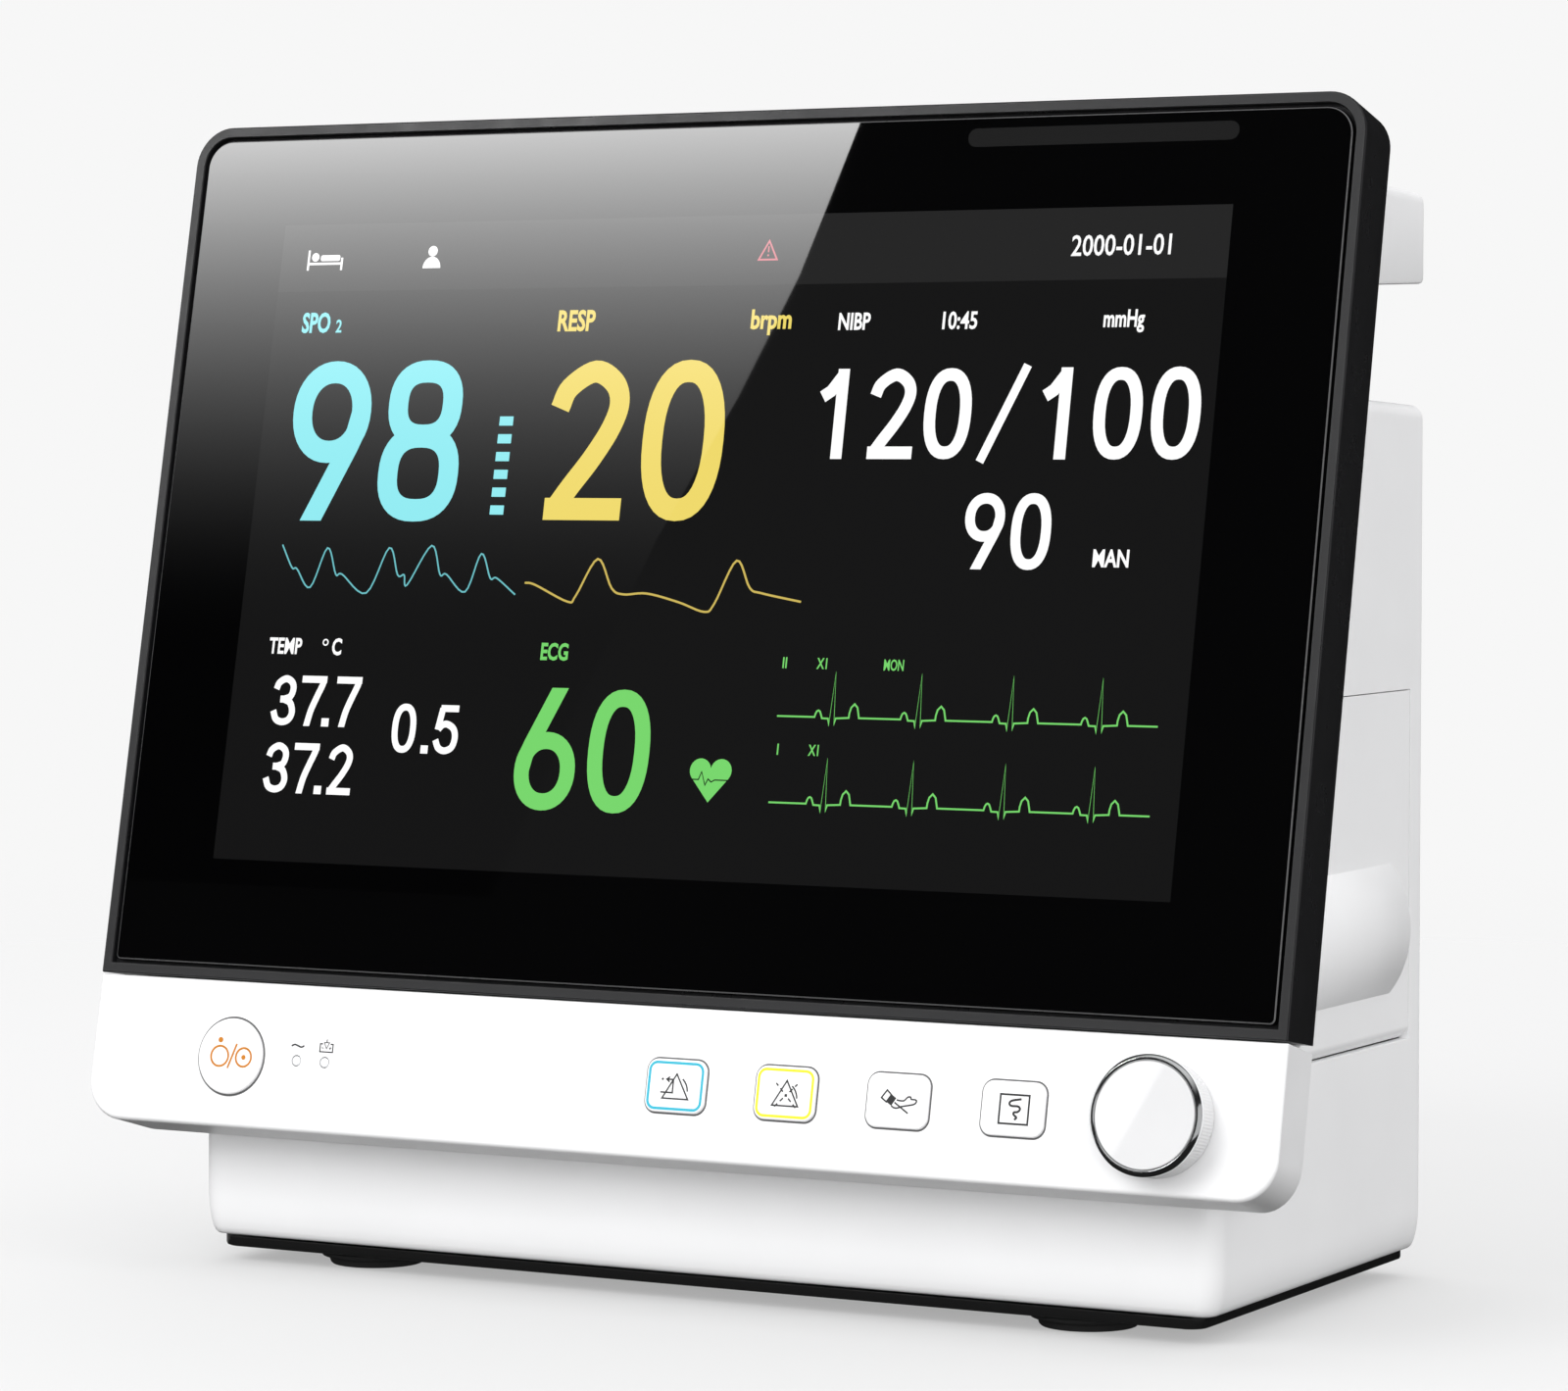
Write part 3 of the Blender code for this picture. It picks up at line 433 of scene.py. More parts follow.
def block(low, high, radius=0.02, steps=1):
    """A box with its upright edges rounded."""
    outline = box_outline(low, high, radius, steps)
    return loft([(outline, low[2]), (outline, high[2])])


def row_of(count, step, low, high, radius, steps):
    """Equal blocks, each moved on by a step from the one before."""
    moves = [Vector(step) * i for i in range(count)]
    return [block(Vector(low) + move, Vector(high) + move, radius, steps) for move in moves]


def rod(x, y, radius, low, high, steps=48):
    return shifted(turned([(0, high), (radius, high), (radius, low), (0, low)], steps), (x, y, 0))


def piece(name, bm, look, place, body="monitor", stands_for=(), bevel=0.0, smooth=35):
    """Makes a named piece from a mesh in one of the frames, and ties it to its body."""
    bmesh.ops.transform(bm, matrix=place, verts=bm.verts)
    mesh = new_mesh(name, bm)
    obj = new_object(name, mesh)
    mesh.materials.append(MATERIAL[look])
    mesh.shade_smooth()
    if bevel:
        rounding = obj.modifiers.new("edges", "BEVEL")
        rounding.width = bevel * MM
        rounding.segments = 2
        rounding.limit_method = "ANGLE"
        rounding.angle_limit = math.radians(33)
        rounding.harden_normals = True
    else:
        mesh.set_sharp_from_angle(angle=math.radians(smooth))
    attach(obj, body)
    if stands_for:
        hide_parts(*stands_for)
        REBUILT.update(stands_for)


def stand_in(name, bm, place, node, look=None, bevel=0.0, smooth=35):
    """A finer shape for one CAD node, with the node's slot and body."""
    slot = SLOT_OF[node]
    piece(name, bm, look or SLOT_LOOK[slot], place, BODY_OF[node], [node], bevel, smooth)


# ---------------------------------------------------------------- flat prints
def stroke(points, width, closed=False):
    """A line of constant width as quads, with a level cut where it ends at height 0 or 1."""
    points = [Vector(p) for p in points]
    count = len(points)
    sides = []
    for i, point in enumerate(points):
        before = points[i - 1] if i or closed else None
        after = points[(i + 1) % count] if i < count - 1 or closed else None
        into = (point - before).normalized() if before else (after - point).normalized()
        out = (after - point).normalized() if after else into
        across = Vector((-into.y - out.y, into.x + out.x)).normalized()
        reach = width / 2 / max(0.5, across.dot(Vector((-out.y, out.x))))
        at_end = before is None or after is None
        if at_end and min(abs(point.y), abs(point.y - 1)) < 1e-4 and abs(out.y) > 0.3:
            across = Vector((-math.copysign(1, out.y), 0))
            reach = width / 2 / abs(out.y)
        sides.append((point + across * reach, point - across * reach))
    quads = []
    for i in range(count if closed else count - 1):
        (a, b), (c, d) = sides[i], sides[(i + 1) % count]
        quads.append([a, c, d, b])
    return quads


def curve_through(points, steps=6):
    """A Catmull-Rom curve through the points."""
    points = [Vector(p) for p in points]
    ends = [2 * points[0] - points[1]] + points + [2 * points[-1] - points[-2]]
    found = []
    for a, b, c, d in zip(ends, ends[1:], ends[2:], ends[3:]):
        for i in range(steps):
            t = i / steps
            found.append(0.5 * (2 * b + (c - a) * t + (2 * a - 5 * b + 4 * c - d) * t * t
                                + (3 * b - a - 3 * c + d) * t * t * t))
    return found + [points[-1]]


def oval(x, y, half_width, half_height, squareness=2.35, steps=40):
    """A rounded oval, fuller than an ellipse."""
    points = []
    for i in range(steps):
        angle = TAU * i / steps
        cosine, sine = math.cos(angle), math.sin(angle)
        power = 2 / squareness
        points.append(Vector((x + half_width * math.copysign(abs(cosine) ** power, cosine),
                              y + half_height * math.copysign(abs(sine) ** power, sine))))
    return points


PEN = 0.138
# Digits on a cell one unit high: each is a list of (points, closed) strokes of PEN width.
NINE = [
    (oval(0, 0.68, 0.2145, 0.25, 2.15), True),
    ([(-0.072, 0), (0.15, 0.463), (0.19, 0.56), (0.2145, 0.68)], False),
]
GLYPHS = {
    "0": [(oval(0, 0.5, 0.2135, 0.431), True)],
    "1": [([(0.034, 0), (0.034, 1)], False), ([(-0.2, 0.69), (-0.1, 0.755), (0.03, 0.93)], False)],
    "2": [
        (curve_through([(-0.222, 0.7), (-0.165, 0.83), (0.005, 0.931), (0.15, 0.86), (0.2, 0.735),
                        (0.158, 0.58), (0.045, 0.39), (-0.09, 0.21), (-0.185, 0.075)]), False),
        ([(-0.262, 0.069), (0.282, 0.069)], False),
    ],
    "3": [
        (curve_through([(-0.205, 0.72), (-0.15, 0.85), (0.005, 0.931), (0.15, 0.86), (0.192, 0.73),
                        (0.14, 0.58), (0, 0.522)]), False),
        (curve_through([(0, 0.522), (0.15, 0.45), (0.215, 0.27), (0.15, 0.12), (0, 0.069),
                        (-0.15, 0.125), (-0.228, 0.29)]), False),
        ([(-0.09, 0.522), (0.05, 0.522)], False),
    ],
    "5": [
        ([(-0.17, 0.925), (0.25, 0.925)], False),
        ([(-0.125, 0.93), (-0.205, 0.49)], False),
        (curve_through([(-0.19, 0.5), (-0.1, 0.59), (0.02, 0.605), (0.17, 0.51), (0.218, 0.33),
                        (0.16, 0.14), (0, 0.069), (-0.15, 0.125), (-0.235, 0.285)]), False),
    ],
    "6": [([(-x, 1 - y) for x, y in points], closed) for points, closed in NINE],
    "7": [
        ([(-0.29, 0.931), (0.29, 0.931)], False),
        (curve_through([(0.225, 0.93), (0.19, 0.81), (0.085, 0.57), (-0.02, 0.3), (-0.088, 0)]), False),
    ],
    "8": [(oval(0, 0.731, 0.194, 0.2, 2.5), True), (oval(0, 0.298, 0.217, 0.229, 2.5), True)],
    "9": NINE,
    ".": [([(-0.085, 0.082), (0.085, 0.082)], False)],
    "/": [([(-0.235, -0.03), (0.235, 1.03)], False)],
}
ADVANCE = 0.672
POINT_BEFORE = {"7": 0.345}


def number(text, left, base, height):
    """Quads of a number in the big digits; left is the middle of its first digit."""
    quads = []
    x = left
    for i, letter in enumerate(text):
        if i:
            wide = ADVANCE if letter != "." else POINT_BEFORE.get(text[i - 1], 0.53)
            x += height * (wide if text[i - 1] != "." else 0.475)
        pen = {".": 0.165, "/": 0.1}.get(letter, PEN)
        for points, closed in GLYPHS[letter]:
            for quad in stroke(points, pen, closed):
                quads.append([Vector((x + height * p.x, base + height * p.y)) for p in quad])
    return quads


def flat(polygons, low, high, drape=None):
    """The union of flat polygons, as one thin solid between two heights."""
    simple = []
    for polygon in polygons:
        a, b, c, *rest = polygon
        simple += [[a, b, c], [a, c, rest[0]]] if len(rest) == 1 else [polygon]
    points, faces = [], []
    for polygon in simple:
        turns = sum(a.x * b.y - b.x * a.y for a, b in zip(polygon, polygon[1:] + polygon[:1]))
        if abs(turns) > 1e-5:
            polygon = polygon if turns > 0 else polygon[::-1]
            faces.append(list(range(len(points), len(points) + len(polygon))))
            points += [Vector(p) for p in polygon]
    verts, _, triangles, _, _, owners = delaunay_2d_cdt(points, [], faces, 1, 1e-5)
    bm = bmesh.new()
    made = [bm.verts.new((v.x, v.y, low)) for v in verts]
    for triangle, owner in zip(triangles, owners):
        if owner:
            bm.faces.new([made[i] for i in triangle])
    bmesh.ops.delete(bm, geom=[v for v in bm.verts if not v.link_faces], context="VERTS")
    bmesh.ops.recalc_face_normals(bm, faces=bm.faces)
    if sum(f.normal.z for f in bm.faces) > 0:
        bmesh.ops.reverse_faces(bm, faces=bm.faces)
    lifted = bmesh.ops.extrude_face_region(bm, geom=list(bm.faces), use_keep_orig=True)
    tops = [v for v in lifted["geom"] if isinstance(v, bmesh.types.BMVert)]
    bmesh.ops.translate(bm, vec=(0, 0, high - low), verts=tops)
    bmesh.ops.recalc_face_normals(bm, faces=bm.faces)
    if drape:
        for vert in bm.verts:
            vert.co.z += drape(vert.co.x, vert.co.y)
    return bm


def words(text, left, base, height, squeeze=0.8, bold=0.012):
    """Small lettering, as polygons of a text curve: generic units and signal names only."""
    curve = bpy.data.curves.new("words", "FONT")
    curve.body = text
    curve.size = 1
    curve.offset = bold
    curve.resolution_u = 3
    obj = bpy.data.objects.new("words", curve)
    mesh = bpy.data.meshes.new_from_object(obj)
    scale = height / 0.7
    polygons = []
    for face in mesh.polygons:
        polygons.append([Vector((left + scale * squeeze * mesh.vertices[i].co.x,
                                 base + scale * mesh.vertices[i].co.y)) for i in face.vertices])
    bpy.data.objects.remove(obj)
    bpy.data.meshes.remove(mesh)
    bpy.data.curves.remove(curve)
    return polygons


def disc(x, y, radius, steps=24):
    return [arc((x, y), (radius, radius), 0, 360, steps)[:-1]]


def ring(x, y, radius, width, steps=32):
    return stroke(arc((x, y), (radius, radius), 0, 360, steps)[:-1], width, True)


# ---------------------------------------------------------------- camera, light and stage
def make_camera():
    """The camera as worked out from the photograph's proportions."""
    camera = new_object("camera", bpy.data.cameras.new("camera"))
    camera.location = (0.6219, -1.1409, 0.2066)
    camera.rotation_euler = (math.radians(90 - 2.797), 0, math.radians(28.553))
    camera.data.lens = 121.58
    camera.data.sensor_width = 36
    camera.data.sensor_fit = "HORIZONTAL"
    bpy.context.scene.camera = camera
    return camera


def area_light(name, place, target, size, power):
    data = bpy.data.lights.new(name, "AREA")
    data.shape = "RECTANGLE"
    data.size, data.size_y = size
    data.energy = power
    light = new_object(name, data)
    light.location = place
    light.rotation_euler = (Vector(target) - Vector(place)).to_track_quat("-Z", "Y").to_euler()
    light.visible_glossy = False


def make_world():
    """White behind the object, dim in reflections, and for matt surfaces bright from above."""
    world = bpy.data.worlds.new("studio")
    bpy.context.scene.world = world
    nodes = Nodes(world)
    nodes.tree.nodes.clear()
    height = nodes.add("SeparateXYZ", {"Vector": nodes.add("TexCoord", {}, "Generated")}, "Z")
    ends = {"From Min": 0.6, "From Max": 0.95, "To Min": 0.02, "To Max": 0.9}
    sky = nodes.add("MapRange", {"Value": height, **ends}, interpolation_type="SMOOTHSTEP")
    # The light on matt surfaces, from straight below (0) to straight above (1).
    around = nodes.add("ValToRGB", {"Fac": nodes.add("MapRange", {"Value": height, "From Min": -1})})
    stops = around.node.color_ramp.elements
    stops[0].position, stops[0].color = 0.49, (0.2, 0.2, 0.2, 1)
    stops[1].position, stops[1].color = 0.52, (1.6, 1.6, 1.61, 1)
    stops.new(0.75).color = (1.5, 1.5, 1.51, 1)
    stops.new(1.0).color = (0.9, 0.9, 0.91, 1)
    matt = nodes.add("Background", {"Color": around})
    gloss = nodes.add("Background", {"Strength": sky})
    backdrop = nodes.add("Background", {"Color": (0.93, 0.93, 0.93, 1)})
    for_glossy = nodes.add("LightPath", {}, "Is Glossy Ray")
    for_camera = nodes.add("LightPath", {}, "Is Camera Ray")
    light = nodes.add("MixShader", {"Fac": for_glossy, 1: matt, 2: gloss})
    light = nodes.add("MixShader", {"Fac": for_camera, 1: light, 2: backdrop})
    nodes.add("OutputWorld", {"Surface": light})
    world.cycles.sampling_method = "NONE"


def make_floor():
    """A round pale floor that thins out into the backdrop."""
    surface = Surface("floor_paper", (0.36, 0.36, 0.36), 0.9).glow((1, 1, 1), 0.38)
    surface.set("Specular IOR Level", 0.0)
    reach = surface.add("VectorMath", {0: surface.place}, "Value", operation="LENGTH")
    ends = {"From Min": 0.45, "From Max": 1.35, "To Min": 1, "To Max": 0}
    surface.set("Alpha", surface.add("MapRange", {"Value": reach, **ends}, interpolation_type="SMOOTHSTEP"))
    bm = bmesh.new()
    bmesh.ops.create_circle(bm, cap_ends=True, segments=96, radius=1.4)
    floor = new_object("floor", new_mesh("floor", bm))
    floor.data.materials.append(surface.material)
    floor.visible_glossy = False
    floor.visible_diffuse = False


def gloss_card(name, points, faces, strength):
    """A card of light seen only in reflections. strength: a number, or a function of its nodes."""
    mesh = bpy.data.meshes.new(name)
    mesh.from_pydata(points, [], faces)
    material = bpy.data.materials.new(name)
    nodes = Nodes(material)
    nodes.tree.nodes.clear()
    glow = nodes.add("Emission", {"Strength": strength(nodes) if callable(strength) else strength})
    nodes.add("OutputMaterial", {"Surface": glow})
    mesh.materials.append(material)
    card = new_object(name, mesh)
    card.visible_camera = False
    card.visible_diffuse = False
    card.visible_shadow = False
    return mesh


def softbox_strength(nodes):
    """Brighter with the height on the glass, and dark near its lower end."""
    height = nodes.add("Attribute", {}, "Fac", attribute_name="height_on_glass")
    level = nodes.add("MapRange", {"Value": height, "From Min": 112, "From Max": 249}, clamp=False)
    level = nodes.add("Math", {0: level, 1: 0}, operation="MAXIMUM")
    level = nodes.add("Math", {0: level, 1: 3.4}, operation="POWER")
    return nodes.add("Math", {0: level, 1: 13.4}, operation="MULTIPLY")


def make_softbox(camera):
    """A sheet of light parallel to the glass with one slanted edge, and a small one for the knob.

    Each is drawn as the part of its surface that it lights for the camera, in millimetres, and
    blown up from the camera's mirror image so that it stands well in front of the display.
    """
    eye = FACE.inverted() @ camera.location
    reach = 1.9
    edge = [(36, 268), (30.5, 251), (18, 213), (4.5, 183), (-14, 148), (-29, 112), (-50, 60)]
    on_glass = [(-175, 268)] + edge + [(-175, 60)]
    on_knob = [(-14, 16), (6.2, 16), (-9, -14), (-14, -14)]
    on_knob = [(KNOB.x + x, KNOB.y + y) for x, y in on_knob]
    corners = []
    for points, level in ((on_glass, GLASS_TOP), (on_knob, KNOB_TOP)):
        mirrored = Vector((eye.x, eye.y, 2 * level - eye.z))
        corners += [mirrored + reach * (Vector((x, y, level)) - mirrored) for x, y in points]
    first = len(on_glass)
    faces = [range(first), range(first, len(corners))]
    mesh = gloss_card("softbox", [FACE @ corner for corner in corners], faces, softbox_strength)
    # The knob's sheet is as bright as this height on the glass.
    knob_level = 196
    shade = mesh.attributes.new("height_on_glass", "FLOAT", "POINT")
    shade.data.foreach_set("value", [y for _, y in on_glass] + [knob_level] * len(on_knob))


def make_side_cards():
    """Upright cards round the front: a bright strip for the chrome and two wide dim ones."""
    cards = (("strip_right", 62, 5, -0.1, 0.9, 2.4, 2.4), ("fill_right", 72, 34, -0.5, 1.0, 2.6, 0.55),
             ("fill_left", -112, 36, -0.6, 1.2, 2.6, 0.42))
    for name, azimuth, half, low, high, reach, strength in cards:
        points = []
        for side, z in ((-half, low), (half, low), (half, high), (-half, high)):
            angle = math.radians(azimuth + side)
            points.append((reach * math.sin(angle), -reach * math.cos(angle), z))
        gloss_card(name, points, [(0, 1, 2, 3)], strength)


def make_stage():
    bpy.context.scene.view_settings.view_transform = "Standard"
    camera = make_camera()
    make_world()
    make_floor()
    make_softbox(camera)
    make_side_cards()
    area_light("key", (-0.5, -1.6, 1.2), (0, 0, 0.12), (1.1, 1.1), 17)
    area_light("overhead", (0, 0.2, 1.8), (0, 0, 0.1), (1.6, 1.6), 6)
    area_light("fill", (1.3, -1.6, 0.25), (0, 0, 0.1), (1.0, 0.5), 9.5)


# ---------------------------------------------------------------- the display
# Half the glass's width, the height of its face, and how far a print stands proud.
GLASS_HALF = 157.6
GLASS_TOP = -0.4
PRINT = 0.02
KNOB_TOP = 9
BEZEL_CORNERS = (10, 10, 0.4, 0.4)
GLASS_CORNERS = (7, 7, 1.5, 1.5)
# The lit area and the height of its header.
SCREEN_LOW, SCREEN_HIGH = Vector((-131.6, 66.3)), Vector((129.4, 228))
HEADER = 17.3
# The spike of a heart beat, from the point of the base line under its peak.
SPIKE = ((-2.6, -0.25), (-0.95, -0.3), (-0.62, -1.8), (0, 10.6), (0.75, -1.6), (1.05, -0.2), (4.5, 0))


def build_bezel():
    low, high = box_in(FACE, "display_bezel")
    depth = -low.z
    profile = [(2.6, -2.3), (2.6, -0.3), (2.35, 0)] + fillet(0, 0, 0.45, 4)[::-1]
    profile += [(0.02, -1), (0.74, 0.6 - depth), (0.85, 0.2 - depth), (1.2, -depth)]
    profile += [(2.9, -depth), (3.2, 0.3 - depth), (3.2, -4.6), (9, -4.6), (9, -2.3)]
    shell = plate(low, high, BEZEL_CORNERS, profile, 12, ring=True)
    stand_in("bezel_shell", shell, FACE, "display_bezel")
    # The front band, in a lighter black than the shell: painted sheen.
    front = [(0.4, -0.1), (0.4, 0.012), (2.45, 0.012), (2.45, -0.1)]
    piece("bezel_front", plate(low, high, BEZEL_CORNERS, front, 12, ring=True), "rim", FACE)


def build_glass():
    low, high = box_in(FACE, "display_bezel")
    margin, top = high.x - GLASS_HALF, GLASS_TOP
    low, high = (-GLASS_HALF, low.y + margin), (GLASS_HALF, high.y - margin)
    profile = [(0, -2.2), (0, top - 0.5), (0.5, top)]
    stand_in("glass_plate", plate(low, high, GLASS_CORNERS, profile, 12), FACE, "cover_glass")
    # A grey ring over the glass's chamfer: a painted highlight of its edge.
    edge = [(0.2, top - 0.6), (0.2, top - 0.22), (0.48, top + 0.012), (0.62, top - 0.1)]
    piece("glass_rim", plate(low, high, GLASS_CORNERS, edge, 12, ring=True), "glass_edge", FACE)
    window = [box_outline(*box_in(FACE, "alarm_light_bar"), 2.2, 10)]
    piece("alarm_window", flat(window, top - 0.2, top + PRINT / 2), "window", FACE)


def shown(name, polygons, look, layer=2):
    """A lit shape on the screen, a hair above the glass."""
    top = GLASS_TOP + PRINT * layer
    piece(name, flat(polygons, GLASS_TOP - 0.05, top), look, FACE)


def bump(x, base, half_width, height, angles):
    """Points over a rounded wave."""
    return [(x + half_width * math.cos(a), base + height * math.sin(a)) for a in angles]


def ecg_trace(left, right, base, beats):
    """Flat line with a small wave, a spike and a rounded wave at each beat."""
    points = [(left, base)]
    for peak in beats:
        points.append((peak - 4.6, base))
        points += bump(peak - 3.7, base, 0.8, 1.6, (2.6, 2.1, 1.57, 1.0, 0.5))
        points += [(peak + x, base + y) for x, y in SPIKE]
        points += bump(peak + 5.75, base, 1.25, 3.3, (2.8, 2.3, 1.57, 0.85, 0.35))
        points.append((peak + 7.2, base))
    return points + [(right, base)]


def smooth_wave(points, base, width):
    return stroke(curve_through([(x, base + y) for x, y in points]), width)


def heart(x, y, size):
    """Two round lobes over a point."""
    lobe = size * 0.27
    points = arc((x + lobe * 0.98, y + size * 0.22), (lobe, lobe), -40, 170, 14)
    points += arc((x - lobe * 0.98, y + size * 0.22), (lobe, lobe), 10, 220, 14)
    return [points + [Vector((x, y - size / 2))]]


def triangle(x, base, width, height):
    return [Vector((x - width / 2, base)), Vector((x + width / 2, base)), Vector((x, base + height))]


def bed_symbol(x, y):
    """A bed with a headboard and a pillow, in place of a word."""
    lines = stroke([(x - 5, y + 2.6), (x - 5, y - 2.6)], 0.6)
    lines += stroke([(x - 5, y - 0.9), (x + 5, y - 0.9)], 0.6)
    lines += stroke([(x + 5, y - 2.6), (x + 5, y + 0.6)], 0.6) + disc(x - 3, y + 0.8, 1.1)
    return lines + [box_outline((x - 1.4, y - 0.2), (x + 4.4, y + 1.3), 0.5, 4)]


def person_symbol(x, y):
    """A head and shoulders."""
    return disc(x, y + 1.7, 1.35) + [arc((x, y - 2.6), (2.6, 2.9), 0, 180, 16)]


def build_screen():
    shown("screen_area", [box_outline(SCREEN_LOW, SCREEN_HIGH, 0.1, 1)], "screen", 0.4)
    header_low = (SCREEN_LOW.x, SCREEN_HIGH.y - HEADER)
    shown("screen_header", [box_outline(header_low, SCREEN_HIGH, 0.1, 1)], "header", 0.8)

    cyan = number("98", -111.2, 152.1, 40.7)
    for i in range(6):
        low = 154 + 4.45 * i
        cyan.append(box_outline((-61.8, low), (-57.9, low + 2.3), 0.05, 1))
    cyan += words("SPO", -123.2, 200.3, 4.9, 0.68, 0.03) + words("2", -113, 200.2, 3.2, 0.8, 0.02)
    shown("spo2_digits", cyan, "cyan")
    # Each pulse: its foot, then its peak, which falls to a notch at two fifths of the height.
    pulses = [(-111.9, 1, -108, 11), (-95.1, -0.2, -89.8, 11.2)]
    pulses += [(-83.4, 2, -77.5, 11.9), (-66.4, 0.5, -62.9, 10)]
    wave = [(-121.5, 11.7), (-118, 6), (-116.4, 5.6)]
    for foot, low, peak, high in pulses:
        wave += [(foot, low), (peak, high), (peak + 3.3, 0.4 * high), (peak + 5.2, 0.4 * high)]
    shown("spo2_wave", smooth_wave(wave + [(-52, 0)], 134.2, 0.4), "cyan_line")

    yellow = number("20", -36.1, 152.8, 39.6)
    yellow += words("RESP", -48.3, 200, 5, 0.72, 0.03) + words("brpm", 5.8, 200, 4.6, 0.8, 0.03)
    shown("resp_digits", yellow, "yellow")
    wave = [(-49.6, 4.6), (-46.6, 4.1), (-37, 0.1), (-34.8, 1.6), (-29.7, 10.7), (-25, 3.6), (-21.5, 2.1)]
    wave += [(-15, 2.4), (-6, 0.4), (1.2, -1.8), (3.8, 0.2), (8.7, 10.7), (13, 4.2), (16.5, 2.9), (27.2, 1)]
    shown("resp_wave", smooth_wave(wave, 132.6, 0.52), "yellow_line")

    white = number("120/100", 31.9, 168.1, 21.8) + number("90", 73.6, 142, 18.1)
    white += number("37.7", -115.8, 100.3, 12.6) + number("37.2", -115.8, 83.4, 12.6)
    white += number("0.5", -79.7, 94.4, 12.2)
    white += words("NIBP", 29.6, 199.5, 4, 0.72, 0.025) + words("10:45", 56.7, 199.4, 4.1, 0.78, 0.02)
    white += words("mmHg", 99.2, 199.5, 4, 0.68, 0.025) + words("TEMP", -122, 118.4, 3.9, 0.72, 0.025)
    white += ring(-105.4, 121.4, 0.7, 0.35) + words("C", -103.4, 118.4, 4, 0.72, 0.03)
    white += words("2000-01-01", 89.2, 216.5, 4.9, 0.82, 0.01) + words("MAN", 102, 143, 4, 0.75, 0.025)
    white += bed_symbol(-118.4, 218.8) + person_symbol(-86.6, 218.9)
    shown("white_readings", white, "white_light")
    sign = stroke(triangle(8.8, 216.9, 5, 4.6), 0.45, True)
    sign += [box_outline((8.62, 218.7), (8.98, 220.2), 0.1, 2)] + disc(8.8, 217.95, 0.26, 12)
    shown("alarm_sign", sign, "pink")

    green = number("60", -38.4, 81.5, 30) + words("ECG", -43.1, 118.4, 4, 0.72, 0.03)
    green += words("II", 23.8, 117.7, 2.6, 0.8, 0.015) + words("X1", 33.2, 117.7, 2.6, 0.7, 0.015)
    green += words("MON", 50.8, 117.7, 2.6, 0.62, 0.015) + words("I", 24.6, 97, 2.6, 0.8, 0.015)
    green += words("X1", 33.2, 97, 2.6, 0.7, 0.015) + heart(7.5, 90.3, 10.6)
    for base in (106.2, 85.6):
        green += stroke(ecg_trace(23.9, 122.4, base, (38.5, 61.2, 85, 107.7)), 0.42)
    shown("ecg_readings", green, "green")
    trace = [(2.5, 0), (4.4, 0), (5.1, 1.9), (6.3, -1.3), (7, 0.2), (7.9, -0.5), (8.8, 0), (12.4, 0)]
    shown("heart_trace", stroke([(x, 90.4 + y) for x, y in trace], 0.3), "screen", 2.5)


# ---------------------------------------------------------------- the control strip
# The caps of the keys are larger than in the CAD; the gap round them is to the edge of their holes.
KEY_HALF = Vector((8.0, 6.3))
KEY_CORNER = 2.8
KEY_GAP = 0.42
KEY_TOP = 0.8
ICON_PEN = 0.39
INDICATORS = ("led_pipe_mains", "led_pipe_battery")
# Radii of the power button.
POWER_HOLE, POWER_CAP, POWER_DISH = 9.9, 9.38, 8.45


def pause_icon():
    lines = stroke([(-3.6, -3), (3.35, -3), (-0.15, 2.85)], ICON_PEN, True)
    lines += stroke(arc((-0.9, -1.4), (3.95, 3.95), 4, 52, 8), ICON_PEN) + disc(-3.85, 1.5, 0.3, 12)
    lines += stroke([(-4.2, -1.6), (-0.95, -1.6), (-0.95, 1.5), (-2.7, 1.5)], ICON_PEN)
    return lines + stroke([(-1.95, 2.1), (-2.75, 1.5), (-1.95, 0.9)], ICON_PEN)


def silence_icon():
    lines = stroke([(-3.5, -2.9), (3.35, -2.9), (0, 3)], ICON_PEN, True)
    lines += stroke(arc((-1, -1.3), (3.95, 3.95), 4, 52, 8), ICON_PEN)
    dashes = ((-1, -0.72), (-0.52, -0.24), (-0.1, 0.1), (0.3, 0.58), (0.78, 1))
    for side in (-2.8, 2.8):
        for dash in dashes:
            lines += stroke([(side * t, -0.45 + 2.75 * t) for t in dash], ICON_PEN)
    return lines


def cuff_icon():
    sleeve = [(-3.1, 2.4), (-4.45, 0.55), (-3.1, -0.35), (-1.95, 1.35)]
    cuff = [(-1.95, 1.5), (-0.6, 0.65), (-1.75, -1.2), (-3.1, -0.35)]
    arm = [(-0.5, 0.25), (0.4, 0.12), (1.45, 0.18), (2.3, 1), (3.05, 1.08), (3.25, 0.6), (4.3, 0.55)]
    arm += [(4.65, 0.15), (4.1, -0.5), (2.5, -0.9), (1, -1.2), (-0.1, -1.6), (-1, -1.6), (-1.75, -1.2)]
    lines = stroke(sleeve, ICON_PEN, True) + [[Vector(p) for p in cuff]]
    return lines + stroke(curve_through(arm, 4), ICON_PEN) + stroke([(-1, -0.35), (2.7, -2.7)], ICON_PEN)


def print_icon():
    lines = stroke([(-3.6, -3.45), (3.7, -3.45), (3.7, 3.2), (-3.6, 3.2)], ICON_PEN * 1.2, True)
    trace = [(1.75, 2.3), (-0.6, 1.85), (-1.25, 1.2), (-0.7, 0.65), (1, 0.6), (1.55, 0), (1, -0.65)]
    trace += [(0.1, -0.8), (0.05, -1.3), (0.8, -1.95), (0.3, -2.5)]
    return lines + stroke(curve_through(trace, 4), ICON_PEN * 1.35)


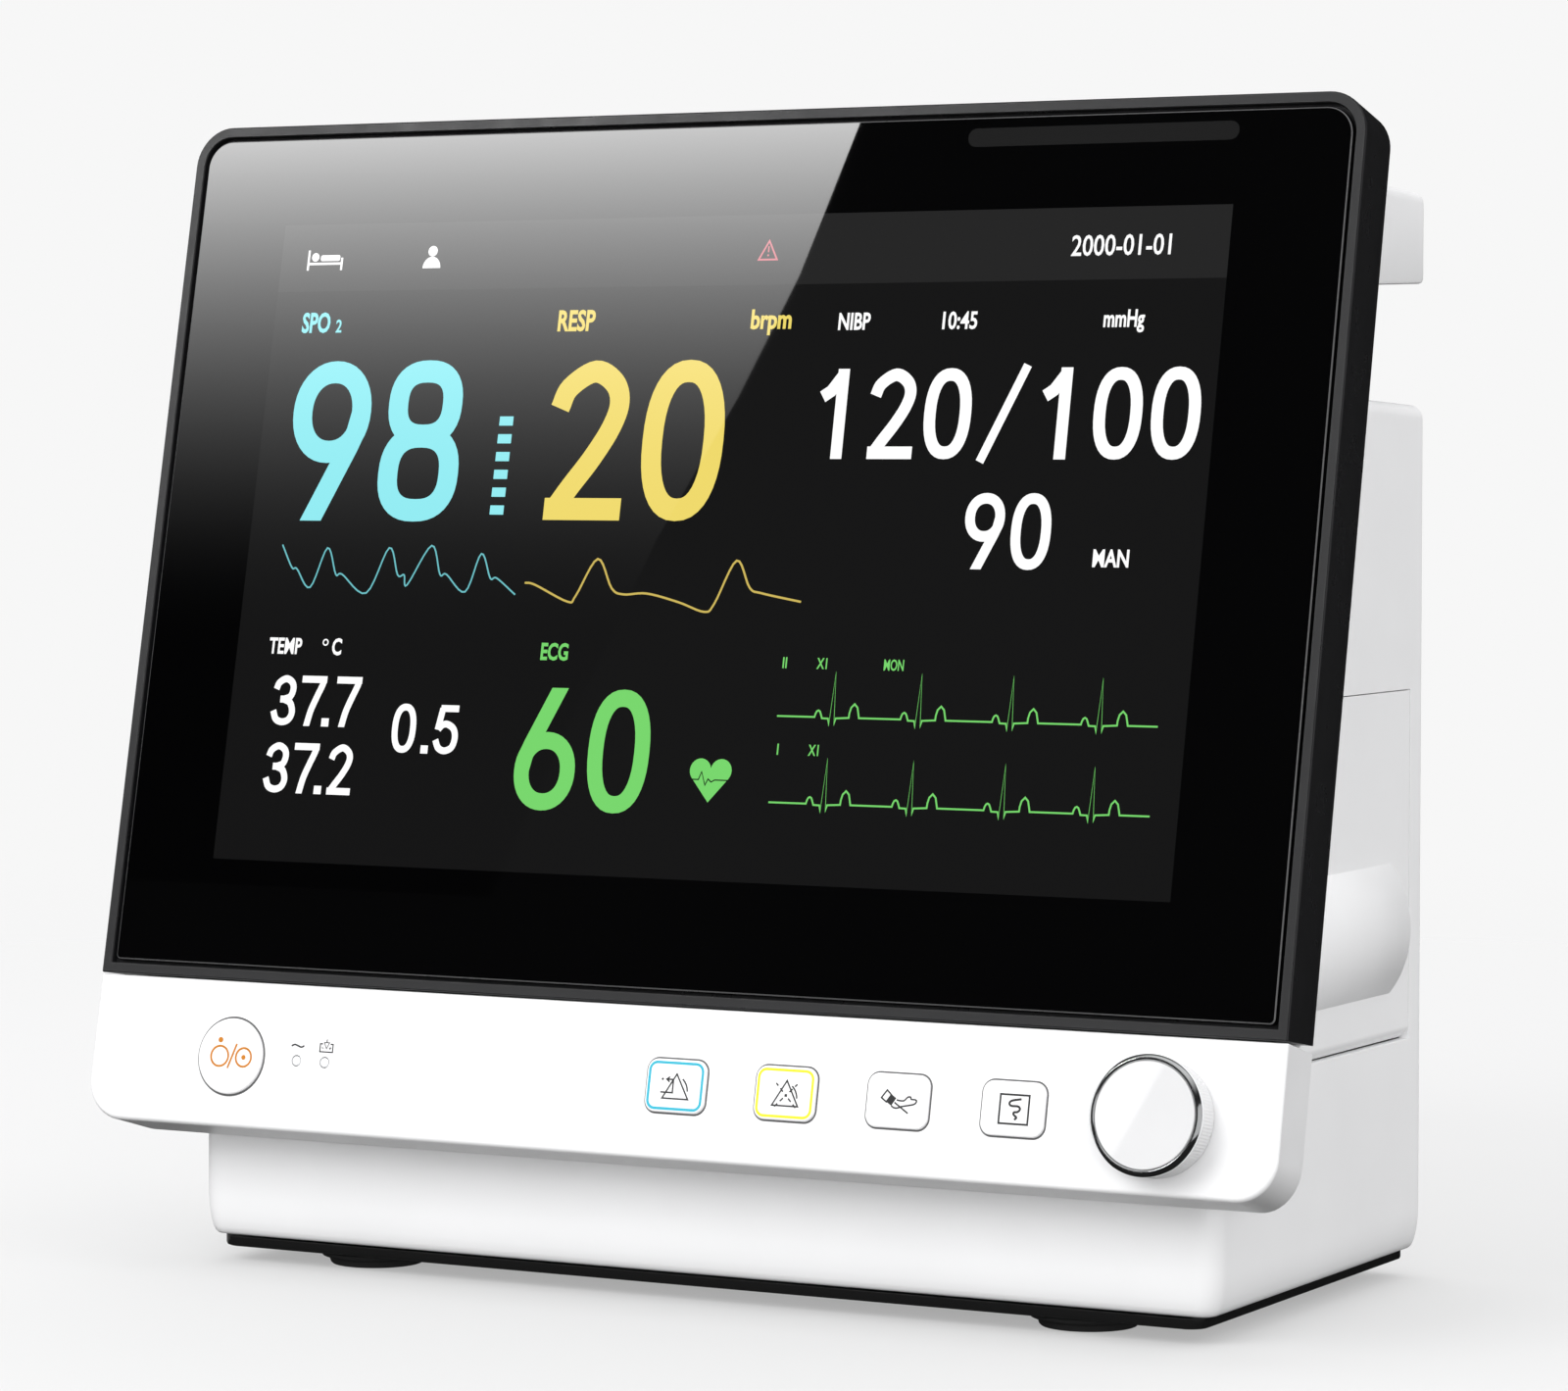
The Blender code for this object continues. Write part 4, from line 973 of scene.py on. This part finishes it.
# Each key's symbol, and the colour of the ring round it.
KEYS = {
    "key_alarm_pause": (pause_icon, "cyan_ring"),
    "key_alarm_silence": (silence_icon, "yellow_ring"),
    "key_nibp": (cuff_icon, None),
    "key_print": (print_icon, None),
}


def build_panel():
    """The control strip, with an underside that falls towards the back, and its holes."""
    low, high = box_in(FACE, "control_panel")
    depth = -low.z
    profile = [(3, -2.6), (3, 0.3 - depth), (2.8, -depth), (1.2, -depth), (0.85, 0.2 - depth)]
    profile += [(0.74, 0.6 - depth), (0.03, -1.3)] + fillet(0, 0, 1.2, 5)
    bm = plate(low, high, BEZEL_CORNERS[::-1], profile, 12)
    fall, above, run = 1.9, 10.5, 16
    for vert in bm.verts:
        if vert.co.y < above:
            share = min(1, max(0, -vert.co.z - 0.5) / run)
            vert.co.y -= fall * (1 - max(vert.co.y, 0) / above) * share
    holes = [rod(centre_in(FACE, "power_button").x, KNOB.y, POWER_HOLE, -6, 3, 72)]
    holes += [rod(centre_in(FACE, node).x, KNOB.y, 1.42, -6, 3, 32) for node in INDICATORS]
    for node in KEYS:
        middle = centre_in(FACE, node).xy
        hole = [(-KEY_GAP, -6), (-KEY_GAP, 3)]
        holes.append(plate(middle - KEY_HALF, middle + KEY_HALF, KEY_CORNER, hole, 8))
    holes.append(rod(KNOB.x, KNOB.y, 4.2, -6, 3, 32))
    stand_in("panel_shell", cut(bm, *holes), FACE, "control_panel", bevel=0.18)


def key_plate(profile, ring=True):
    return plate(-KEY_HALF, KEY_HALF, KEY_CORNER, profile, 10, ring)


def build_keys():
    top, under = KEY_TOP + PRINT, KEY_TOP - 0.05
    cap = [(0, -3.2), (0, -0.1)] + fillet(0, KEY_TOP, 0.5, 4)
    for node, (icon, edge) in KEYS.items():
        middle = centre_in(FACE, node)
        spot = at(FACE, middle.x, middle.y)
        stand_in(node + "_cap", key_plate(cap, ring=False), spot, node)
        piece(node + "_symbol", flat(icon(), under, top), "ink", at(spot, 0.35, 0), node)
        # A dark ring filling the gap round the cap: painted shade of the gap.
        gap_shade = key_plate([(-0.41, -0.7), (-0.41, -0.02), (-0.03, -0.02), (-0.03, -0.7)])
        piece(node + "_seal", gap_shade, "gap_shade", spot)
        if edge:
            band = key_plate([(0.56, under), (0.56, top), (1.2, top), (1.2, under)])
            piece(node + "_ring", band, edge, spot, node)


def build_power_button():
    spot = at(FACE, centre_in(FACE, "power_button").x, KNOB.y)

    def dish(x, y):
        return 0.6 + 0.28 * (x * x + y * y) / POWER_DISH**2

    profile = [(0, -3), (POWER_CAP, -3)]
    profile += [(POWER_CAP - inset, z) for inset, z in fillet(0, 0.85, 0.55, 5)] + [(8.7, 0.9)]
    profile += [(POWER_DISH * i / 12, dish(POWER_DISH * i / 12, 0)) for i in range(12, -1, -1)]
    stand_in("power_button_cap", turned(profile, 96), spot, "power_button")
    # A dark ring filling the gap round the button: painted shade of the gap.
    gap_shade = [(9.41, -0.8), (9.41, -0.02), (9.89, -0.02), (9.89, -0.8)]
    piece("power_button_gap_shade", turned(gap_shade, 96, ring=True), "gap_shade", spot)
    lines = ring(-3.06, -0.1, 2.5, 0.52) + ring(4, -0.1, 2.3, 0.52)
    lines += disc(-3.2, 3.9, 0.68) + disc(4, -0.1, 0.62) + stroke([(-0.45, -3), (1.65, 3.15)], 0.48)
    piece("power_symbol", flat(lines, -0.05, 0.05, dish), "orange", spot, "power_button")


def build_indicators():
    lens = [(0, 0.1), (0.6, 0.07), (1, 0), (1.15, -0.15), (1.15, -6), (0, -6)]
    for node in INDICATORS:
        spot = at(FACE, centre_in(FACE, node).x, KNOB.y)
        stand_in(node + "_lens", turned(lens, 40), spot, node)
    mains = [(-101.8, 20.95), (-100.9, 21.35), (-99.9, 21.1), (-98.9, 20.8), (-98.1, 21.2)]
    mark = stroke(curve_through(mains), 0.42)
    # A battery: an open box with an arrow into it, a minus and a plus.
    x, y = -91.6, 20
    case = [(-1.1, 1.95), (-1.85, 1.95), (-1.85, 0), (1.85, 0), (1.85, 1.95), (1.1, 1.95)]
    mark += stroke([(x + across, y + up) for across, up in case], 0.32)
    mark += stroke(triangle(x, y + 2.3, 1.5, -1.5), 0.22, True) + stroke([(x, y + 3.1), (x, y + 2.3)], 0.28)
    for side in (-1.1, 1.1):
        mark += stroke([(x + side - 0.35, y + 0.95), (x + side + 0.35, y + 0.95)], 0.2)
    mark += stroke([(x + 1.1, y + 0.6), (x + 1.1, y + 1.3)], 0.2)
    piece("indicator_symbols", flat(mark, -0.05, PRINT), "ink", FACE)


def knurled(radius, groove, teeth=108, points_each=4):
    """The outline of a grip with fine teeth."""
    outline = []
    for i in range(teeth * points_each):
        angle = TAU * i / (teeth * points_each)
        reach = radius - groove * (0.5 - 0.5 * math.cos(angle * teeth))
        outline.append((reach * math.cos(angle), reach * math.sin(angle)))
    return outline


def build_knob():
    spot = at(FACE, KNOB.x, KNOB.y)
    steps = ((13.1, 0, 0.5), (13.4, 0, 0.8), (13.5, 0.22, 1.2))
    steps += ((13.5, 0.22, 6.9), (13.4, 0, 7.15), (13.1, 0, 7.3))
    grip = loft([(knurled(radius, groove), z) for radius, groove, z in steps])
    stand_in("knob_grip", grip, spot, "knob_body", "grip", smooth=60)
    trim = [(12.35, 7.6), (12.35, 8.85), (12.5, 9.05), (12.62, 9.13), (12.95, 9.13), (13.05, 9.08)]
    trim += [(13.72, 8.4), (13.8, 8.2), (13.8, 7.7), (13.7, 7.6)]
    stand_in("knob_trim", turned(trim, 128, ring=True), spot, "knob_ring")
    cap = [(0, KNOB_TOP), (12, KNOB_TOP), (12.2, 8.85), (12.2, 7.6), (0, 7.6)]
    stand_in("knob_face", turned(cap, 128), spot, "knob_cap", "cap")


# ---------------------------------------------------------------- housing, handle, base
# The housing and its bottom plate stand this much further forward than in the CAD.
FRONT_REACH = 4.7
# How the housing draws in at its foot: (inset, height).
HOUSING_FOOT = ((3.4, 0), (2.4, 0.2), (1.7, 0.8), (1.1, 2), (0.55, 4.2), (0.15, 7), (0, 10))
# Two rows of vents on the back: first and last slot, lower and upper end.
VENTS = ((0, 99, 150, 188), (-96, -41, 155, 183))


def build_housing():
    low, high = box_in(TOP, "main_housing")
    slope_start = low.y
    low.y -= FRONT_REACH
    rows = []
    for inset, height in [(inset, low.z + z) for inset, z in HOUSING_FOOT] + fillet(0, high.z, 3.4, 6):
        fall = 0.04 if height > 100 else 0
        outline = inset_box(low, high, (3.2, 3.2, 6, 6), inset, 16)
        rows.append([(p.x, p.y, height - fall * (p.y - slope_start)) for p in outline])
    wall, floor, roof = 2.6, 4, 7.5
    inside = block(low + Vector((wall, wall, floor)), high - Vector((wall, wall, roof)), 6, 10)
    # All that would reach into the display, whose back is 17.3 mm behind its face.
    display = block((-200, -200, -17.3), (200, 400, 300))
    bmesh.ops.transform(display, matrix=TOP.inverted() @ FACE, verts=display.verts)
    bm = cut(cut(loft(rows), inside), display)
    openings = []
    rooms = (("recorder_door", 0, 0.22), ("connector_panel", 0, 0.22), ("battery_door", 1, 0.6))
    for node, axis, room in rooms:
        a, b = box_in(TOP, node)
        for i in range(3):
            a[i] -= 8 if i == axis else room
            b[i] += 8 if i == axis else room
        if node == "recorder_door":
            b.y += 0.3
        openings.append(block(a, b))
    bm = cut(cut(bm, *openings), *rear_openings())
    stand_in("housing_shell", bm, TOP, "main_housing", bevel=0.25)


def rear_openings():
    """Cuts through the back wall, brought from the back's frame to the top's."""
    cuts = []
    start, end = 60, 90
    for node in ("mains_inlet", "network_port", "usb_port"):
        cuts.append(plate(*box_in(BACK, node), 1.2, [(-0.5, start), (-0.5, end)], 4))
    rounds = [(f"housing_screw_{i}", 3.6, 32) for i in range(1, 5)] + [("equipotential_stud", 7, 40)]
    for node, radius, steps in rounds:
        middle = centre_in(BACK, node)
        cuts.append(rod(middle.x, middle.y, radius, start, end, steps))
    for first, last, bottom, top in VENTS:
        for x in range(first, last + 1, 9):
            cuts.append(plate((-x - 3.4, bottom), (-x, top), 1.69, [(0, start), (0, end)], 6))
    for bm in cuts:
        bmesh.ops.transform(bm, matrix=TOP.inverted() @ BACK, verts=bm.verts)
    return cuts


def build_handle():
    """A U of constant width; its front ends lie on the display's back."""
    _, high = box_in(TOP, "handle")
    back, half, width, outer, inner = high.y, high.x, 25, 3.4, 10
    slope = UPWARD.y / UPWARD.z
    # Level distance from the display's face to its back, and a mark for the points that lie there.
    level_depth = 17.4813
    on_display = -60

    def outline(inset):
        """Outer side from the right front round the back, then the inner side to the start."""
        o, i = outer - inset, inner + inset
        side, rear = half - inset, back - inset
        inside, bar = half - width + inset, back - width + inset
        points = [Vector((side, on_display))]
        points += arc((side - o, rear - o), (o, o), 0, 90, 14)
        points += arc((o - side, rear - o), (o, o), 90, 180, 14)
        points += [Vector((-side, on_display)), Vector((-inside, on_display))]
        points += arc((i - inside, bar - i), (i, i), 180, 90, 14)
        points += arc((inside - i, bar - i), (i, i), 90, 0, 14)
        return points + [Vector((inside, on_display))]

    def height(y, share):
        run = back - y
        bottom, top = 244 - 0.035 * run, 265.9 + 0.05 * run
        return bottom + (top - bottom) * share

    rows = []
    sizes = [(1.1, 0), (0.35, 0.013), (0, 0.05), (0, 0.88)]
    for inset, share in sizes + [(0.25, 0.935), (0.8, 0.975), (1.6, 0.994), (2.6, 1)]:
        row = []
        for p in outline(inset):
            y = p.y
            z = height(y, share)
            if y == on_display:
                for _ in range(4):
                    y = (FOOT.y - slope * FOOT.z) / MM + level_depth + z * slope
                    z = height(y, share)
            row.append((p.x, y, z))
        rows.append(row)
    stand_in("handle_grip", loft(rows), TOP, "handle")


def build_base():
    low, high = box_in(TOP, "bottom_plate")
    low.y -= FRONT_REACH
    high.y += 2
    profile = [(0.9, low.z), (0.25, low.z + 0.25), (0, low.z + 0.8), (0, high.z)]
    stand_in("base_plate", plate(low, high, (2, 2, 5, 5), profile, 10), TOP, "bottom_plate", "gloss_black")
    foot = [(0, 3.5), (13.7, 3.5), (14, 3.2), (14, 2.6), (13.7, 2.2), (12.4, 1.9), (12, 1.5), (11.7, 0.5)]
    foot += [(11.3, 0.1), (10.7, 0), (8, 0), (7.8, 0.35), (6.4, 0.35), (6.2, 0), (4.6, 0), (4.4, 0.35)]
    foot += [(3, 0.35), (2.8, 0), (0, 0)]
    for name in [n for n in frame["nodes"] if n.startswith("foot_")]:
        middle = centre_in(TOP, name)
        stand_in(name + "_pad", turned(foot, 72), at(TOP, middle.x, middle.y), name)


# ---------------------------------------------------------------- recorder
# Inner and outer face of the door, and the radius of its hinge barrel.
DOOR_BACK, DOOR_FACE = 136.6, 139.1
BARREL = 3.2
# The platen's axis in the recorder's sections.
PLATEN = (134.9, 129.8)


def build_door(low, high, roll):
    """A flat plate on a hinge barrel, with ears for the platen and a bulge over the paper roll."""
    hinge = (low.z + BARREL, DOOR_FACE - BARREL)
    outline = [Vector((high.z, DOOR_BACK)), Vector((high.z, DOOR_FACE))]
    outline += [p.yx for p in arc(hinge[::-1], (BARREL, BARREL), 0, -90, 14)]
    outline += [Vector(hinge), Vector((hinge[0], DOOR_BACK))]
    door = loft([(outline, low.y), (outline, high.y)])
    bulge = [(0, -0.8), (23.6, -0.8), (24.6, -0.5), (25.3, 0.9), (25.3, 53.6), (24.6, 54.9)]
    bulge = shifted(turned(bulge + [(23.6, 55.2), (0, 55.2)], 128), (roll.z, roll.x, 0))
    bulge = cut(bulge, block((20, 60, -20), (180, DOOR_BACK + 0.3, 80)))
    ears = [block((130.5, 125.4, y), (139.3, 137, y + 3), 1.5, 4) for y in (-1, 52)]
    door = combine(door, [rod(*hinge, BARREL, low.y + 2.8, high.y - 3.8), bulge] + ears, "UNION")
    tools = [rod(roll.z, roll.x, 23.6, 0.9, 53.5, 96), rod(*PLATEN, 2.3, -5, 60)]
    tools += [rod(*hinge, 2.4, low.y - 3, low.y + 2.8), rod(*hinge, 2.4, high.y - 3.8, high.y + 3)]
    tools += [rod(*hinge, 1.1, low.y - 1, high.y + 1, 24), block((113.2, 130, -8.3), (123.8, 145, 6.3))]
    stand_in("recorder_door_shell", cut(door, *tools), SECTION, "recorder_door", bevel=0.22)


def build_latch():
    low, high = box_in(RIGHT, "recorder_latch")
    pad = plate(low, high, 2, [(0, low.z), (0, high.z - 0.5)] + fillet(0, high.z, 0.5, 4), 8)
    ends = (low.x + 2.5, low.y + 2.3, high.z - 0.35), (high.x - 2.5, low.y + 3.1, high.z + 1)
    stand_in("latch_pad", cut(pad, *row_of(4, (0, 1.8, 0), *ends, 0.3, 3)), RIGHT, "recorder_latch")


def build_recorder():
    low, high = box_in(TOP, "recorder_door")
    roll = centre_in(TOP, "paper_roll")
    build_door(low, high, roll)
    build_latch()

    layers = [(22, 51.8), (21.8, 52)] + [(22 - 0.5 * i, 52 - 0.09 * (i % 2)) for i in range(1, 31)]
    layers += [(6.2, 52), (6, 51.8), (6, 2.2), (6.2, 2), (21.8, 2), (22, 2.2)]
    spot = at(SECTION, roll.z, roll.x)
    stand_in("paper_winding", turned(layers, 96, ring=True), spot, "paper_roll")
    core = [(6, 2.3), (6, 51.7), (5.45, 51.7), (5.45, 2.3)]
    piece("paper_core", turned(core, 64, ring=True), "card", spot, "paper_roll")

    spot = at(SECTION, *PLATEN)
    roller = [(0, 55.2), (2, 55.2), (2, 51.6), (5.7, 51.6), (6, 51.3), (6, 2.7), (5.7, 2.4), (2, 2.4)]
    roller += [(2, -1.8), (0, -1.8)]
    stand_in("platen_rubber", turned(roller, 64), spot, "platen_roller")
    gear = []
    teeth = 22
    for i in range(teeth * 4):
        radius = (4.5, 5.4, 5.4, 4.5)[i % 4]
        angle = TAU * (i + (0, 0.25, -0.25, 0)[i % 4]) / (teeth * 4)
        gear.append((radius * math.cos(angle), radius * math.sin(angle)))
    piece("platen_gear", loft([(gear, 55.3), (gear, 58.4)]), "grey", spot, "platen")
    tip = [(0, 59.5), (1.8, 59.5), (2, 59.3), (2, 58.3), (0, 58.3)]
    piece("platen_tip", turned(tip, 40), "steel", spot, "platen")

    bar = plate((3, 131), (51, 139), 0.6, [(0, 123.3), (0, 123.7), (0.3, 123.9)], 4)
    piece("heater_ceramic", bar, "paper", RIGHT)
    line = plate((4, 134.4), (50, 135.4), 0.3, [(0, 123.6), (0, 123.98)], 4)
    piece("heater_line", line, "dark", RIGHT)
    for i in range(5):
        x = 92 + 5 * i
        fin = block((x, 10, 142.6), (x + 1.2, 44, 145), 0.3, 3)
        piece(f"head_fin_{i}", fin, "sheet", TOP, bevel=0.15)


# ---------------------------------------------------------------- left sockets
# Each socket: the look of its band, how many contacts it has, and the radius of their circle.
SOCKETS = {
    "socket_ecg": ("green_ring", 10, 3.6),
    "socket_spo2": ("cyan_ring", 8, 3),
    "socket_nibp": (None, 0, 0),
    "socket_temp_1": ("orange", 4, 1.5),
    "socket_temp_2": ("orange", 4, 1.5),
}


def thermometer(x, y):
    tube = [(x - 0.55, y - 0.75), (x - 0.55, y + 2.4), (x + 0.55, y + 2.4), (x + 0.55, y - 0.75)]
    return ring(x, y - 1.6, 1.05, 0.35) + stroke(tube, 0.32)


def build_sockets():
    low, high = box_in(LEFT, "connector_panel")
    face = high.z
    holes = []
    for name, (edge, pins, circle) in SOCKETS.items():
        a, b = box_in(LEFT, name)
        middle, radius = (a + b) / 2, (b.x - a.x) / 2
        neck, cavity = radius - 2, radius - 3.4
        holes.append(rod(middle.x, middle.y, neck + 0.3, low.z - 5, face + 5, 64))
        spot = at(LEFT, middle.x, middle.y, face)
        collar = [(0, -8), (cavity, -8), (cavity, 2.8), (cavity + 0.4, 3.2), (radius - 0.9, 3.2)]
        collar += [(radius - 0.25, 2.95), (radius, 2.3), (radius, 0.5), (radius - 0.2, 0.3), (neck, 0.3)]
        collar = turned(collar + [(neck, -12), (0, -12)], 80)
        stand_in(name + "_collar", collar, spot, name, "dark" if edge else "chrome")
        if edge:
            band = [(radius - 2.5, 3.15), (radius - 2.5, 3.22), (radius - 1.1, 3.22), (radius - 1.1, 3.15)]
            piece(name + "_band", turned(band, 80, ring=True), edge, spot)
            base = turned([(0, -6.9), (cavity - 0.02, -6.9), (cavity - 0.02, -8), (0, -8)], 48)
            piece(name + "_insert", base, "grey", spot)
            contacts = []
            for i in range(pins):
                angle = TAU * (i + 0.5) / pins
                tip = turned([(0, -2.6), (0.3, -2.7), (0.5, -3.1), (0.5, -7.2), (0, -7.2)], 16)
                contacts.append(shifted(tip, (circle * math.cos(angle), circle * math.sin(angle), 0)))
            piece(name + "_pins", merged(contacts), "gold", spot)
        else:
            tube = [(1.5, -8.1), (1.5, 0.6), (1.7, 0.9), (2.1, 0.9), (2.4, 0.5), (2.4, -8.1)]
            piece(name + "_nozzle", turned(tube, 48, ring=True), "steel", spot)
    panel = plate(low, high, 3, [(0, low.z), (0, face - 0.5)] + fillet(0, face, 0.5, 4), 8)
    stand_in("socket_panel", cut(panel, *holes), LEFT, "connector_panel")
    symbols = heart(-46, 184, 6.5) + thermometer(-56.5, 157) + thermometer(-56.5, 136)
    pulse = [(-37, 0), (-36, 0.4), (-35, 3.6), (-33.8, 0.4), (-32.6, 0.4), (-31.6, 3.6), (-30.2, 0)]
    symbols += smooth_wave(pulse, 168, 0.4)
    symbols += [[Vector((-20 + 0.7 * p.x, 141.5 + 0.7 * p.y)) for p in polygon] for polygon in cuff_icon()]
    piece("socket_symbols", flat(symbols, face - 0.05, face + PRINT), "paper", LEFT)


# ---------------------------------------------------------------- back and battery
def build_back():
    head = [(0, 1.6), (0.9, 1.55), (2, 1.3), (2.7, 0.8), (3, 0.2), (3, 0), (1.5, 0), (1.5, -9), (0, -9)]
    for i in range(1, 5):
        name = f"housing_screw_{i}"
        screw = turned(head, 48)
        for x, y in ((1.7, 0.45), (0.45, 1.7)):
            screw = cut(screw, block((-x, -y, 0.5), (x, y, 3), 0.1, 2))
        stand_in(name + "_head", screw, under(BACK, name, 1.6), name)

    low, _ = box_in(BACK, "mains_inlet")
    for x, lift in ((-17, 10), (-24, 14), (-31, 10)):
        y = low.y + lift
        blade = block((x - 1.05, y - 2.05, 57), (x + 1.05, y + 2.05, 69.4), 0.3, 3)
        piece(f"mains_pin_{-x}", blade, "steel", BACK, bevel=0.2)
    low, _ = box_in(BACK, "network_port")
    ends = (low.x + 4, low.y + 7.5, 64.2), (low.x + 4.5, low.y + 8.3, 72)
    piece("network_contacts", merged(row_of(8, (1.02, 0, 0), *ends, 0.1, 2)), "gold", BACK)
    low, high = box_in(BACK, "usb_port")
    tongue = block((low.x + 2, low.y + 3.9, 65), (high.x - 2, low.y + 5.6, 74.4), 0.2, 2)
    piece("usb_tongue", tongue, "paper", BACK, bevel=0.15)
    stud = [(0, 8.4), (2.3, 8.4), (2.8, 8.1), (3, 7.5), (3, 5), (2.6, 4.6), (2.6, 3.6), (3, 3.2), (3, 0)]
    stud = turned(stud + [(6.1, 0), (6.4, -0.3), (6.4, -2), (0, -2)], 64)
    stand_in("bonding_stud", stud, under(BACK, "equipotential_stud", 8.4), "equipotential_stud")

    low, high = box_in(BACK, "battery_door")
    ribs = []
    for i in range(6):
        y = low.y + 7 + 2.4 * i
        ribs.append(plate((72, y), (100, y + 1), 0.5, [(0, high.z - 0.1), (0.1, high.z + 0.35)], 5))
    piece("battery_door_ribs", merged(ribs), "white", BACK, "battery_door")
    low, high = box_in(BACK, "battery_latch")
    ends = (low.x + 2, low.y + 1.2, high.z - 0.1), (high.x - 2, low.y + 1.8, high.z + 0.4)
    ridges = merged(row_of(4, (0, 1.5, 0), *ends, 0.2, 3))
    piece("battery_latch_ridges", ridges, "grey", BACK, "battery_latch")


def refine_rest():
    """Every CAD node that has no finer shape yet gets a copy of itself with softened edges."""
    widths = {"main_board": 0.15, "key_board": 0.15, "recorder_hinge_pin": 0.1}
    for name, node in frame["nodes"].items():
        if name not in REBUILT:
            bm = bmesh.new()
            bm.from_mesh(node.data)
            bmesh.ops.dissolve_limit(bm, angle_limit=0.002, verts=bm.verts, edges=bm.edges)
            stand_in(name + "_soft", bm, Matrix.Identity(4), name, bevel=widths.get(name, 0.3))


def main():
    dress_frame()
    make_stage()
    build_bezel()
    build_glass()
    build_screen()
    build_panel()
    build_keys()
    build_power_button()
    build_indicators()
    build_knob()
    build_housing()
    build_handle()
    build_base()
    build_recorder()
    build_sockets()
    build_back()
    refine_rest()


main()
